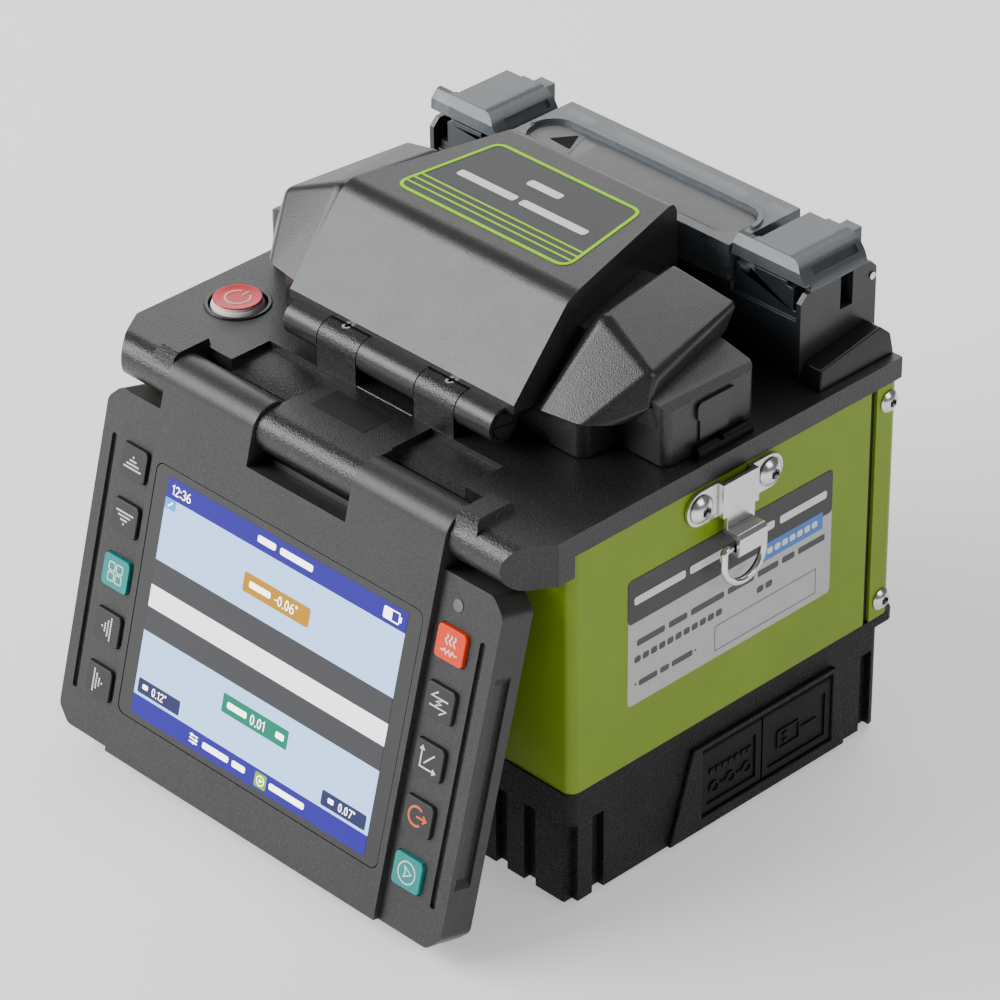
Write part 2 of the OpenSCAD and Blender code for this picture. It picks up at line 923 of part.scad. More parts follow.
// A point of a wing, moved towards the wing's middle by the distance d
function wing_point(p, d) =
    let (middle = [54, -4, deck_z + 18])
        p + [0, 0, deck_z] + (middle - p - [0, 0, deck_z]) * d / norm(middle - p - [0, 0, deck_z]);

// Corners of a wing with the radius of their rounding, heights counted from the deck
wing_corners = [[[wing_in + 0.2, -19.4, 30.9], 5], [[65, -21.5, 22.7], 3.6], [[41.4, wing_back_y, 31.7], 1.6],
    [[57.2, 19.1, 25.7], 1.6], [[wing_in - 0.2, -37.5, 8.2], 1.8], [[54.2, -35.4, 7.8], 4],
    [[66, -21.4, 15.8], 0.7], [[57.4, 15.6, 19.2], 0.7], [[41.4, wing_back_y, 8], 0.8], [[50, wing_back_y, 8], 0.8]];

// Right wing: sloping top panel, slanted front facet and a strip along its side
module wing_block() {
    intersection() {
        hull()
            for (c = wing_corners)
                translate(wing_point(c[0], 1.5 * c[1]))
                    sphere(c[1], $fn = 24);
        span([30, -60, wing_low_z], [90, 60, deck_z + 50]);
    }
}

// Hollow of the right wing
module wing_hollow() {
    intersection() {
        hull()
            for (c = wing_corners)
                translate(wing_point(c[0], 1.9 * cover_t))
                    cube(0.02, center = true);
        span([wing_in + cover_t, -60, wing_low_z - 1], [90, wing_back_y - cover_t, deck_z + 50]);
    }
}

// Floor of the valley between the hood and the right wing, shrunk by t for its hollow
module valley(t) {
    foot = cover_foot_z - (t > 0 ? 1 : 0);
    yz_prism(hood_back_half + 1, wing_in + 5, [[wing_front_y + t, foot],
        [wing_front_y + t, deck_z + 8.3 - 0.35 * t], [-16.9 + 0.5 * t, deck_z + 26 - t],
        [wing_back_y - t, deck_z + 26 - t], [wing_back_y - t, foot]]);
}

// Lower part of the right wing, standing over the fiber's way out, shrunk by t
module wing_foot(t) {
    foot = cover_foot_z - (t > 0 ? 1 : 0);
    round_box([20, wing_front_y + t, foot], [wing_x - t, wing_back_y - t, wing_low_z + 1.5 - t], 3);
    intersection() {
        round_box([20, side_front_y + t, foot], [side_x - t, side_back_y - t, deck_z + 24], 2.6);
        xz_prism(-60, 60, [[19, deck_z - 5], [side_x + 1, deck_z - 5], [side_x + 1, side_top_z - 2.2 - t],
            [side_x - 2.4, side_top_z - t], [57, deck_z + 19.4 - t], [19, deck_z + 19.4 - t]]);
    }
}

// Small lip where the strip of the right wing ends over its foot
module wing_lip() {
    hull()
        for (p = [[66, -20.6, 15.8], [62.6, -21.2, 11], [68, -20.2, 11], [67, -17, 11], [68, -17, 15]])
            translate(p + [0, 0, deck_z])
                cube(0.02, center = true);
}

// Hinge knuckles of the cover and the webs that join them to the hood
module cover_knuckles() {
    for (r = [[-knuckle_out, -knuckle_mid - knuckle_gap],
            [-knuckle_in + knuckle_gap, knuckle_in - knuckle_gap],
            [knuckle_mid + knuckle_gap, knuckle_out]]) {
        rod_x(r[0], r[1], cover_axis_y, cover_axis_z, knuckle_r);
        yz_prism(r[0], r[1], [[cover_axis_y, cover_axis_z + 2], [cover_axis_y + 4.5, cover_axis_z],
            [wing_front_y + 0.5, cover_axis_z], [wing_front_y + 0.5, face_lo_z + 2],
            [face_lo_y + 1, face_lo_z]]);
    }
}

// Cast wind cover: hood, two wings and three hinge knuckles, hollow from below
module wind_cover() {
    slot_r = 2.2;
    color([0.45, 0.45, 0.46])
        difference() {
            union() {
                hood_body(0);
                both_sides() {
                    wing_block();
                    valley(0);
                    wing_foot(0);
                    wing_lip();
                }
                cover_knuckles();
            }
            hood_body(cover_t);
            both_sides() {
                wing_hollow();
                valley(cover_t);
                wing_foot(cover_t);
                span([side_x - 4, fiber_y - slot_r, deck_z - 1], [side_x + 1, fiber_y + slot_r, fiber_z + slot_r]);
            }
            rod_x(-knuckle_out - 1, knuckle_out + 1, cover_axis_y, cover_axis_z, cover_pin_r + pin_fit);
            rod_x(knuckle_out - 1.6, knuckle_out + 1, cover_axis_y, cover_axis_z, pin_head_r + 0.3);
            both_sides()
                rod_x(knuckle_in - knuckle_gap, knuckle_mid + knuckle_gap, cover_axis_y, cover_axis_z,
                    knuckle_r + 0.4);
        }
}

// Raised pads on the cover's sides, with the tongues that close the fiber slots
module cover_pads() {
    color([0.3, 0.3, 0.3])
        both_sides() {
            translate([side_x, 0, 0])
                rotate([90, 0, 90])
                    linear_extrude(0.9)
                        round_rect([-9.3, deck_z + 9.2], [4.4, deck_z + 14.4], 1.6);
            span([side_x, -8.2, deck_z + 3.6], [side_x + 0.6, 1.8, deck_z + 9.2]);
        }
}

// Steel hinge pin with a slotted head at its right end
module cover_hinge_pin() {
    color([0.6, 0.6, 0.62])
        difference() {
            union() {
                rod_x(-knuckle_out, knuckle_out - 1.4, cover_axis_y, cover_axis_z, cover_pin_r);
                rod_x(knuckle_out - 1.4, knuckle_out + 0.2, cover_axis_y, cover_axis_z, pin_head_r);
            }
            translate([knuckle_out, cover_axis_y, cover_axis_z])
                rotate([-8, 0, 0])
                    span([-0.5, -5, -0.35], [2, 5, 0.35]);
        }
}

// Set screws that lock the hinge pin in the deck's stands
module hinge_set_screws() {
    color([0.85, 0.85, 0.86])
        both_sides()
            difference() {
                rod_z(cover_axis_z + cover_pin_r, cover_axis_z + knuckle_r, 18.5, cover_axis_y, 1.2);
                rod_z(cover_axis_z + knuckle_r - 1, cover_axis_z + knuckle_r + 1, 18.5, cover_axis_y, 0.55);
            }
}

// ---------------------------------------------------------------- splice stage

stage_z = 96;
stage_top = fiber_z - 0.5;

// Bars on the deck that the fiber lies over where it leaves the cover
module fiber_rests() {
    color([0.1, 0.1, 0.1])
        both_sides()
            difference() {
                union() {
                    span([side_x + 0.3, -10.6, deck_z], [side_x + 2.9, 8.3, deck_z + 1.7]);
                    rod_y(-10.6, 8.3, side_x + 1.6, deck_z + 1.7, 1.3);
                }
                rod_x(side_x - 4, side_x + 5, fiber_y, fiber_z, 1);
            }
}

// Ceramic block with the V grooves, split by the arc gap
module v_groove_block() {
    color([0.9, 0.88, 0.8])
        difference() {
            union() {
                span([-9, fiber_y - 6, 82.5], [9, fiber_y + 6, stage_z]);
                both_sides()
                    span([2.2, fiber_y - 3, stage_z], [9, fiber_y + 3, fiber_z]);
            }
            translate([0, fiber_y, fiber_z - 0.2])
                rotate([45, 0, 0])
                    span([-10, -0.4, -0.4], [10, 0.4, 0.4]);
        }
}

// Sliding fiber stage on the right: carrier with a groove and a clamp seat
module stage_body(side) {
    color([0.55, 0.56, 0.58])
        scale([side, 1, 1])
            difference() {
                union() {
                    span([13, fiber_y - 8, 82.7], [31, fiber_y + 8, stage_z + 4]);
                    span([14, fiber_y - 6, stage_z + 4], [30, fiber_y + 6, stage_top]);
                }
                rod_x(12, 32, fiber_y, stage_top, 0.6);
                rod_x(12, 32, fiber_y + 8, stage_top, 1.6);
            }
}

module stage_left() {
    stage_body(-1);
}

module stage_right() {
    stage_body(1);
}

// Spring clamp that presses the fiber's coating on the stage
module stage_clamp(side) {
    color([0.15, 0.15, 0.16])
        scale([side, 1, 1]) {
            rod_x(15, 29, fiber_y + 8, stage_top, 1.4);
            span([16, fiber_y - 5, stage_top + 0.3], [28, fiber_y + 7.4, stage_top + 3]);
        }
}

module stage_clamp_left() {
    stage_clamp(-1);
}

module stage_clamp_right() {
    stage_clamp(1);
}

// Tungsten electrodes on both sides of the fiber, sharpened towards the arc
module electrodes() {
    color([0.75, 0.75, 0.75])
        for (s = [-1, 1])
            translate([0, fiber_y + s * arc_gap / 2, fiber_z])
                rotate([-90 * s, 0, 0])
                    rotate_extrude($fn = round_fn)
                        polygon([[0, 0], [0.5, 2.5], [0.5, 14], [0, 14]]);
}

// Holders that grip the electrodes in front of and behind the fiber
module electrode_holders() {
    color([0.85, 0.82, 0.7])
        for (s = [-1, 1])
            difference() {
                span([-4, fiber_y + (s > 0 ? 8 : -13), 82.5], [4, fiber_y + (s > 0 ? 13 : -8), fiber_z + 2.5]);
                rod_y(fiber_y - 20, fiber_y + 20, 0, fiber_z, 0.5);
                span([-5, fiber_y + (s > 0 ? 12.9 : -14), 80], [5, fiber_y + (s > 0 ? 14 : -12.9), 90]);
            }
}

// Two microscopes with their cameras under the splice point
module microscopes() {
    color([0.15, 0.15, 0.17])
        for (s = [-1, 1])
            difference() {
                union() {
                    rod_z(58, 82.4, 0, fiber_y + s * 13, 5);
                    span([-7, fiber_y + s * 13 - 6, 52.2], [7, fiber_y + s * 13 + 6, 58]);
                }
                rod_z(76, 84, 0, fiber_y + s * 13, 3.5);
            }
}

// ---------------------------------------------------------------- heater

housing_x = bracket_x - bracket_t;
heat_floor_z = deck_z + 12;
housing_top_z = deck_z + 18;

// Heater housing between the brackets: base, an end block on each side, fiber channel
module heater_housing() {
    block_in = lid_half + 1.8;
    block_out = housing_x - 3;
    block_top_z = deck_z + bracket_h;
    color([0.1, 0.11, 0.13])
        difference() {
            union() {
                span([-housing_x, 34.2, deck_z], [housing_x, 60.5, housing_top_z]);
                both_sides() {
                    span([block_in, 35.2, housing_top_z - 1], [block_out, 56.5, block_top_z]);
                    span([block_in + 6.3, 35.2, block_top_z - 1], [block_out - 2.2, 55, block_top_z + 1.2]);
                    span([block_in + 1.5, 34.5, block_top_z - 1.4], [block_in + 4.5, 35.3, block_top_z - 0.2]);
                }
            }
            both_sides()
                span([block_in - 0.8, 34, housing_top_z - 2], [housing_x + 1, 35.2, housing_top_z + 1]);
            span([-wide, heat_y - 5, heat_floor_z], [wide, heat_y + 5, deck_z + 40]);
            span([-housing_x + 3, 37, deck_z - 1], [housing_x - 3, 58, deck_z + 9]);
            rod_x(-wide, wide, rod_y, rod_z, 3.1);
        }
}

// Aluminium trough that the protection sleeve lies in
module heater_trough() {
    color([0.75, 0.76, 0.78])
        difference() {
            span([-60, heat_y - 4.8, heat_floor_z + 1], [60, heat_y + 4.8, housing_top_z]);
            span([-61, heat_y - 2.6, heat_floor_z + 2.2], [61, heat_y + 2.6, housing_top_z + 1]);
        }
}

// Flat ceramic heating element under the trough
module heater_plate() {
    color([0.85, 0.8, 0.7])
        span([-56, heat_y - 4.5, heat_floor_z], [56, heat_y + 4.5, heat_floor_z + 1]);
}

// Sheet-metal end brackets with a fiber slot and the hole of the hinge rod
module heater_brackets() {
    top_z = deck_z + bracket_h;
    color([0.22, 0.22, 0.25])
        both_sides() {
            difference() {
                union() {
                    yz_prism(housing_x, bracket_x, [[33.2, deck_z], [33.2, top_z - 2.2], [35.4, top_z],
                        [58.9, top_z], [61, top_z - 2.1], [61, deck_z]]);
                }
                span([housing_x - 1, heat_y - 2.25, deck_z + 14.8], [bracket_x + 1, heat_y + 2.25, top_z + 1]);
                rod_x(housing_x - 1, bracket_x + 1, rod_y, rod_z, rod_r);
            }
        }
}

// Wedge-shaped blocks that hide the heater's wiring beside the brackets
module heater_foot_blocks() {
    color([0.06, 0.06, 0.07])
        both_sides()
            intersection() {
                xz_prism(32, 62, [[bracket_x, deck_z], [73.2, deck_z], [71.2, deck_z + 8],
                    [bracket_x, deck_z + 8]]);
                yz_prism(bracket_x, 75, [[33, deck_z], [34.9, deck_z + 5.1], [57.4, deck_z + 8],
                    [60.6, deck_z + 5.2], [60.6, deck_z]]);
            }
}

// Rod on which the heater's lid and its two clamps turn
module heater_hinge_rod() {
    color([0.8, 0.8, 0.8])
        rod_x(-bracket_x - 0.4, bracket_x + 0.4, rod_y, rod_z, rod_r);
}

lid_top_z = deck_z + 28.5;
clamp_top_z = deck_z + 32;
hub_r = 2.4;

// Smoked lid over the middle of the heater, with a long shallow pocket and a rear rail
module heater_lid() {
    pocket_half = 38.3;
    pocket_y = 37.2;
    pocket_r = 7.1;
    rail_t = 1.3;
    wall = 1.5;
    skirt = housing_top_z + 0.4;
    color([0.45, 0.48, 0.52])
        difference() {
            union() {
                difference() {
                    span([-lid_half, 34.2, skirt], [lid_half, 60.5, lid_top_z]);
                    translate([0, 0, lid_top_z - 1])
                        linear_extrude(2)
                            round_rect([-pocket_half, pocket_y], [pocket_half, pocket_y + 14.4], pocket_r);
                    span([-lid_half + wall, 34.2 + wall, skirt - 1], [lid_half - wall, 56.4, lid_top_z - 3]);
                }
                translate([0, 0, lid_top_z - 1])
                    linear_extrude(1.7)
                        difference() {
                            round_rect([-pocket_half - rail_t, pocket_y - rail_t],
                                [pocket_half + rail_t, pocket_y + 14.4 + rail_t], pocket_r + rail_t);
                            round_rect([-pocket_half, pocket_y], [pocket_half, pocket_y + 14.4], pocket_r);
                            translate([-50, 30])
                                square([100, pocket_y + 7.2 - 30]);
                        }
                for (x = [-30, 24]) {
                    rod_x(x, x + 6, rod_y, rod_z, hub_r);
                    span([x, 56, rod_z], [x + 6, rod_y + 1, lid_top_z - 3]);
                }
            }
            span([-lid_half - 1, 56.3, skirt - 1], [-30.3, 60.9, rod_z + 3.4]);
            span([30.3, 56.3, skirt - 1], [lid_half + 1, 60.9, rod_z + 3.4]);
            span([-23.7, 56.3, skirt - 1], [23.7, 60.9, rod_z + 3.4]);
            rod_x(-lid_half - 1, lid_half + 1, rod_y, rod_z, rod_r + pin_fit);
            span([-wide, heat_y - 2.6, skirt - 1], [wide, heat_y + 2.6, deck_z + 21.5]);
        }
}

// Outline of a clamp seen along Y, shrunk by t: flat roof that rolls down to the right
module clamp_outline(t) {
    roll_r = 8;
    hull_x = 25 - roll_r;
    translate([0, clamp_top_z]) {
        translate([-1, -roll_r])
            square([hull_x + 1, roll_r - t]);
        intersection() {
            translate([hull_x, -roll_r])
                circle(roll_r - t, $fn = round_fn);
            translate([hull_x - 0.5, -roll_r])
                square(roll_r + 1);
        }
    }
}

// The clamp's outline extruded between two Y positions
module clamp_prism(y0, y1, t) {
    translate([0, y1, 0])
        rotate([90, 0, 0])
            linear_extrude(y1 - y0)
                clamp_outline(t);
}

// End clamp of the heater: rolled roof, side skirts and a front lip reaching to its left
module heater_clamp() {
    skirt_lo = deck_z + bracket_h + 0.4;
    color([0.5, 0.53, 0.57])
        difference() {
            union() {
                difference() {
                    intersection() {
                        clamp_prism(36.4, 57, 0);
                        span([5.3, 36, skirt_lo], [26, 58, clamp_top_z + 1]);
                    }
                    intersection() {
                        clamp_prism(36, 55.5, 2);
                        span([6.8, 35, skirt_lo - 1], [26, 58, clamp_top_z + 1]);
                    }
                    span([5, 38.4, clamp_top_z - 0.6], [11.4, 58, clamp_top_z + 1]);
                    translate([17, 0, clamp_top_z - 8])
                        rotate([0, -40, 0])
                            span([7, 38.8, -1.1], [10, 55, 1.1]);
                }
                intersection() {
                    yz_prism(0, 25, [[34.2, clamp_top_z - 5.4], [36, clamp_top_z - 5.8],
                        [37.8, clamp_top_z - 3], [37.8, clamp_top_z], [36.4, clamp_top_z - 0.2],
                        [34.4, clamp_top_z - 2.4]]);
                    clamp_prism(34, 38, 0);
                }
                span([14, 57, rod_z], [19, 61.2, clamp_top_z - 1]);
                span([14, 55, clamp_top_z - 3], [19, 57.1, clamp_top_z - 1]);
                rod_x(14, 19, rod_y, rod_z, hub_r);
            }
            rod_x(13, 20, rod_y, rod_z, rod_r + pin_fit);
        }
}

module heater_clamp_right() {
    translate([bracket_x + 0.5 - 25, 0, 0])
        heater_clamp();
}

module heater_clamp_left() {
    translate([-bracket_x - 0.5, 0, 0])
        heater_clamp();
}

base_boot();
feet();
tripod_insert();
battery_pack();
port_frame();
port_flap_power();
port_flap_data();
green_shell();
rear_shell();
chassis_frame();
circuit_boards();
arc_transformer();
shell_screws();
hanger_brackets();
hanger_screws();
d_ring_right();
d_ring_left();
deck();
power_ring();
power_cap();
display_hinge_pins();
display_front();
display_rear();
display_window();
lcd_panel();
display_board();
key_mat();
status_led();
key_up();
key_down();
key_menu();
key_left();
key_right();
key_heat();
key_arc();
key_axis();
key_exit();
key_play();
cover_hinge_pin();
hinge_set_screws();
wind_cover();
cover_pads();
fiber_rests();
v_groove_block();
stage_left();
stage_right();
stage_clamp_left();
stage_clamp_right();
electrodes();
electrode_holders();
microscopes();
heater_housing();
heater_trough();
heater_plate();
heater_brackets();
heater_foot_blocks();
heater_hinge_rod();
heater_lid();
heater_clamp_left();
heater_clamp_right();
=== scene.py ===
"""Looks of the fiber fusion splicer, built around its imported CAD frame."""
import json
import math
import bmesh
import bpy
from mathutils import Matrix, Vector


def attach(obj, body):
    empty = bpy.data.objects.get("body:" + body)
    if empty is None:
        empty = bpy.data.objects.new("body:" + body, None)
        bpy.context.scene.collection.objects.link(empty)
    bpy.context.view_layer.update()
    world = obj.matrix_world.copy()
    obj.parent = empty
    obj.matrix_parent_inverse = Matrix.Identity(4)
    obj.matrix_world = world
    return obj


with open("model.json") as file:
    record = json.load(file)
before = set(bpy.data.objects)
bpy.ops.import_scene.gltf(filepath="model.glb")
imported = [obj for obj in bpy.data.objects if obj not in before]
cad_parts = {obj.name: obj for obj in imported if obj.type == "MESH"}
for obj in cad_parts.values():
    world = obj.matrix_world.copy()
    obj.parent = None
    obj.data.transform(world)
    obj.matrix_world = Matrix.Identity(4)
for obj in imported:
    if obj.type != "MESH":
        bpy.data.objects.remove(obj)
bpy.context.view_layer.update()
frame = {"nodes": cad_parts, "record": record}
NODES = frame["nodes"]
MM = 0.001

# Places on the CAD model, in millimetres
TILT = math.radians(14.8)           # the folded display's lean from upright
PIVOT = Vector((0, -67, 104))       # middle of the display's hinge line
DECK_TOP = 110
BUTTON_TOP = 111.2
SIDE_X = 76.0                       # right face of the green shell
FLAP_X = 76.1                       # outer face of the port flaps
HOOD_TOP = 147.32                   # hood's top face at y = 0
HOOD_RISE = math.atan(1.5 / 49.7)   # slope of that face towards the back
POCKET_FLOOR = 137.5                # floor of the pocket in the heater's lid


# ---------------------------------------------------------------- camera, light and floor

FOCAL_LENGTH = 176.84                       # millimetres, on a sensor 36 wide
CAMERA_PLACE = (0.7615, -0.7458, 0.7431)    # metres


def make_camera():
    """A long lens at the reference viewing angle."""
    azimuth = math.radians(45.84)
    elevation = math.radians(32.635)
    roll = math.radians(-0.466)
    back = Vector((math.sin(azimuth) * math.cos(elevation),
                   -math.cos(azimuth) * math.cos(elevation), math.sin(elevation)))
    right = Vector((math.cos(azimuth), math.sin(azimuth), 0))
    up = back.cross(right)
    side = right * math.cos(roll) + up * math.sin(roll)
    top = up * math.cos(roll) - right * math.sin(roll)
    data = bpy.data.cameras.new("camera")
    data.lens = FOCAL_LENGTH
    data.sensor_width = 36
    data.clip_start = 0.05
    camera = bpy.data.objects.new("camera", data)
    rotation = Matrix((side, top, back)).transposed().to_4x4()
    camera.matrix_world = Matrix.Translation(CAMERA_PLACE) @ rotation
    bpy.context.scene.collection.objects.link(camera)
    bpy.context.scene.camera = camera


LIGHT_TARGET = Vector((0, 0, 0.08))


def area_light(name, at, size, watts):
    """A rectangular soft box that faces the object."""
    data = bpy.data.lights.new(name, "AREA")
    data.shape = "RECTANGLE"
    data.size, data.size_y = size
    data.energy = watts
    light = bpy.data.objects.new(name, data)
    light.location = at
    light.rotation_euler = (LIGHT_TARGET - Vector(at)).to_track_quat("-Z", "Y").to_euler()
    bpy.context.scene.collection.objects.link(light)


def make_studio():
    """Pale floor, pale surroundings and soft boxes."""
    world = bpy.data.worlds.new("studio")
    bpy.context.scene.world = world
    world.use_nodes = True
    background = world.node_tree.nodes["Background"]
    background.inputs["Color"].default_value = (1, 1, 1, 1)
    background.inputs["Strength"].default_value = 0.15
    area_light("front_left_box", (-0.85, -0.95, 0.83), (1.35, 0.8), 37)
    area_light("rear_left_box", (-1.05, 1.1, 0.72), (1.7, 0.95), 13)
    area_light("right_box", (1.1, 0.2, 0.7), (0.6, 0.4), 3)
    area_light("rear_top_box", (0.0, 0.85, 1.05), (0.8, 0.6), 4)
    floor_mesh = bpy.data.meshes.new("floor")
    reach = 6
    floor_mesh.from_pydata([(-reach, -reach, 0), (reach, -reach, 0), (reach, reach, 0),
                            (-reach, reach, 0)], [], [(0, 1, 2, 3)])
    floor = bpy.data.objects.new("floor", floor_mesh)
    bpy.context.scene.collection.objects.link(floor)
    material = bpy.data.materials.new("floor")
    material.use_nodes = True
    shader = material.node_tree.nodes["Principled BSDF"]
    shader.inputs["Base Color"].default_value = (0.86, 0.86, 0.86, 1)
    shader.inputs["Roughness"].default_value = 0.85
    shader.inputs["Emission Color"].default_value = (1, 1, 1, 1)
    shader.inputs["Emission Strength"].default_value = 0.45
    floor_mesh.materials.append(material)


# ---------------------------------------------------------------- materials

class Finish:
    """A Principled material whose colour, roughness and bump are built from nodes."""

    def __init__(self, name, colour, roughness=0.5, metallic=0.0, **fixed):
        self.material = bpy.data.materials.new(name)
        self.material.use_nodes = True
        self.tree = self.material.node_tree
        self.shader = self.tree.nodes["Principled BSDF"]
        self.shader.inputs["Metallic"].default_value = metallic
        self.shader.inputs["Roughness"].default_value = roughness
        self.shader.inputs["Base Color"].default_value = (*colour, 1)
        for key, value in fixed.items():
            self.shader.inputs[key.replace("_", " ")].default_value = value
        self.colour = colour
        self.roughness = roughness
        self.height = None
        self.place = self.tree.nodes.new("ShaderNodeTexCoord").outputs["Object"]

    def node(self, kind, **values):
        made = self.tree.nodes.new(kind)
        for key, value in values.items():
            setattr(made, key, value)
        return made

    def join(self, a, b):
        self.tree.links.new(a, b)

    def noise(self, per_metre, detail=2.0):
        """Noise over the object, with features of about 1 / per_metre."""
        made = self.node("ShaderNodeTexNoise")
        made.inputs["Scale"].default_value = per_metre
        made.inputs["Detail"].default_value = detail
        self.join(self.place, made.inputs["Vector"])
        return made.outputs["Fac"]

    def spread(self, fac, low, high, to_low=0.0, to_high=1.0):
        """A value carried from one range to another, clamped."""
        made = self.node("ShaderNodeMapRange")
        for key, value in zip(("From Min", "From Max", "To Min", "To Max"),
                              (low, high, to_low, to_high)):
            made.inputs[key].default_value = value
        self.join(fac, made.inputs["Value"])
        return made.outputs["Result"]

    def mix(self, fac, a, b):
        """Colour a where fac is 0 and b where it is 1; each is a colour or a socket."""
        made = self.node("ShaderNodeMix", data_type="RGBA")
        for value, socket in ((a, made.inputs["A"]), (b, made.inputs["B"])):
            if isinstance(value, tuple):
                socket.default_value = (*value, 1)
            else:
                self.join(value, socket)
        self.join(fac, made.inputs["Factor"])
        return made.outputs["Result"]

    def mottle(self, amount=0.15, per_metre=60):
        """Slow changes of colour and gloss over the surface."""
        fac = self.spread(self.noise(per_metre, 3), 0.35, 0.65)
        dark = tuple(c * (1 - amount) for c in self.colour)
        light = tuple(min(1, c * (1 + amount)) for c in self.colour)
        self.paint = self.mix(fac, dark, light)
        rough = self.spread(self.noise(per_metre * 2.3, 3), 0.3, 0.7,
                            self.roughness - 0.015, self.roughness + 0.015)
        self.join(rough, self.shader.inputs["Roughness"])
        self.join(self.paint, self.shader.inputs["Base Color"])
        return self

    def grain(self, per_metre, depth, detail=2.0, contrast=0.0):
        """Fine moulded or sprayed grain, as bump and, with contrast, as specks of colour."""
        fac = self.noise(per_metre, detail)
        bump = self.node("ShaderNodeBump")
        bump.inputs["Distance"].default_value = depth
        bump.inputs["Strength"].default_value = 1
        self.join(fac, bump.inputs["Height"])
        if self.height is not None:
            self.join(self.height, bump.inputs["Normal"])
        self.height = bump.outputs["Normal"]
        self.join(self.height, self.shader.inputs["Normal"])
        if contrast:
            light = tuple(min(1, c * (1 + contrast) + 0.02 * contrast) for c in self.colour)
            self.paint = self.mix(self.spread(fac, 0.5, 0.68), self.paint, light)
            self.join(self.paint, self.shader.inputs["Base Color"])
        return self

    def shaded(self, reach=0.0012, colour=(0.01, 0.01, 0.01)):
        """Painted shade in sockets and tight corners: the colour darkens where ambient occlusion finds
        nearby surfaces.
        """
        near = self.node("ShaderNodeAmbientOcclusion", samples=8)
        near.inputs["Distance"].default_value = reach
        self.paint = self.mix(self.spread(near.outputs["AO"], 0.35, 0.8), colour, self.paint)
        self.join(self.paint, self.shader.inputs["Base Color"])
        return self

    def worn(self, colour, radius=0.0006, amount=0.5):
        """Edges rubbed towards a lighter colour."""
        bevel = self.node("ShaderNodeBevel", samples=4)
        bevel.inputs["Radius"].default_value = radius
        geometry = self.node("ShaderNodeNewGeometry")
        dot = self.node("ShaderNodeVectorMath", operation="DOT_PRODUCT")
        self.join(bevel.outputs["Normal"], dot.inputs[0])
        self.join(geometry.outputs["Normal"], dot.inputs[1])
        edge = self.spread(dot.outputs["Value"], 0.97, 0.85, 0, amount)
        broken = self.node("ShaderNodeMath", operation="MULTIPLY")
        self.join(edge, broken.inputs[0])
        self.join(self.spread(self.noise(700, 4), 0.42, 0.62), broken.inputs[1])
        self.paint = self.mix(broken.outputs["Value"], self.paint, colour)
        self.join(self.paint, self.shader.inputs["Base Color"])
        return self


def build_finishes():
    """One material for each slot of the record."""
    made = {}

    def add(slot, *args, **fixed):
        made[slot] = Finish(slot, *args, **fixed)
        return made[slot]

    low = {"Specular_IOR_Level": 0.16}
    add("boot_rubber", (0.0075, 0.0075, 0.008), 0.45, **low).mottle().grain(1700, 0.0004, 3, 0.9)
    add("soft_rubber", (0.006, 0.006, 0.0065), 0.5, **low).mottle().grain(2600, 0.00003)
    green = add("green_paint", (0.19, 0.305, 0.002), 0.34, Specular_IOR_Level=0.3)
    green.mottle(0.04).grain(3000, 0.00001).worn((0.3, 0.42, 0.06), amount=0.4)
    deck = add("deck_paint", (0.009, 0.009, 0.0093), 0.34)
    deck.mottle().grain(2200, 0.00013, 1, 0.8).worn((0.05, 0.05, 0.052))
    cover = add("cover_paint", (0.017, 0.017, 0.0173), 0.34)
    cover.mottle(0.08).grain(2600, 0.00006, 1, 0.5).worn((0.06, 0.06, 0.062))
    add("frame_metal", (0.006, 0.006, 0.007), 0.5).mottle().grain(2500, 0.00003)
    add("brass", (0.7, 0.5, 0.2), 0.35, 1).mottle().grain(3000, 0.00002)
    # the steel's sockets and crevices get painted shade from shaded()
    add("steel", (0.72, 0.72, 0.72), 0.22, 1).mottle(0.06).grain(3500, 0.00001).shaded()
    add("dark_steel", (0.035, 0.036, 0.039), 0.3, 0.3).mottle().grain(2500, 0.00002)
    add("aluminium", (0.7, 0.7, 0.72), 0.38, 1).mottle(0.06).grain(3000, 0.00002)
    add("battery", (0.02, 0.05, 0.15), 0.5).mottle().grain(1500, 0.00003)
    add("board", (0.01, 0.1, 0.04), 0.4).mottle().grain(1500, 0.00003)
    add("copper_wound", (0.3, 0.2, 0.05), 0.4).mottle().grain(1800, 0.00003)
    plastic = add("display_plastic", (0.035, 0.035, 0.0355), 0.36, Specular_IOR_Level=0.32)
    plastic.mottle(0.06).grain(2600, 0.00004, 1, 0.4).worn((0.09, 0.09, 0.092), amount=0.4)
    keys = {"Specular_IOR_Level": 0.35}
    add("key_plastic", (0.03, 0.03, 0.031), 0.4, **keys).mottle(0.05).grain(3200, 0.00001)
    add("key_teal", (0.0, 0.26, 0.235), 0.35, **keys).mottle(0.03).grain(3200, 0.00001)
    add("key_orange", (0.8, 0.045, 0.0), 0.35, **keys).mottle(0.03).grain(3200, 0.00001)
    add("window", (0.03, 0.03, 0.031), 0.22, Specular_IOR_Level=0.4).mottle(0.04)
    add("screen", (0.55, 0.68, 0.8), 0.3).mottle(0.02)
    add("led_lens", (0.12, 0.12, 0.12), 0.25).mottle()
    add("red_cap", (0.8, 0.79, 0.77), 0.3).mottle(0.02).grain(3200, 0.00001)
    add("black_plastic", (0.014, 0.014, 0.0145), 0.3).mottle().grain(2800, 0.00002)
    add("ceramic", (0.7, 0.67, 0.6), 0.5).mottle(0.05).grain(2200, 0.00003)
    add("optic_black", (0.006, 0.006, 0.006), 0.5).mottle().grain(2200, 0.00003)
    heater = add("heater_black", (0.024, 0.028, 0.033), 0.36)
    heater.mottle().grain(2600, 0.00002).worn((0.08, 0.085, 0.09))
    smoked = add("smoked", (0.155, 0.175, 0.192), 0.24, Transmission_Weight=0.5, IOR=1.46)
    smoked.mottle(0.05, 120).grain(1200, 0.000002)
    return made


INKS = {}


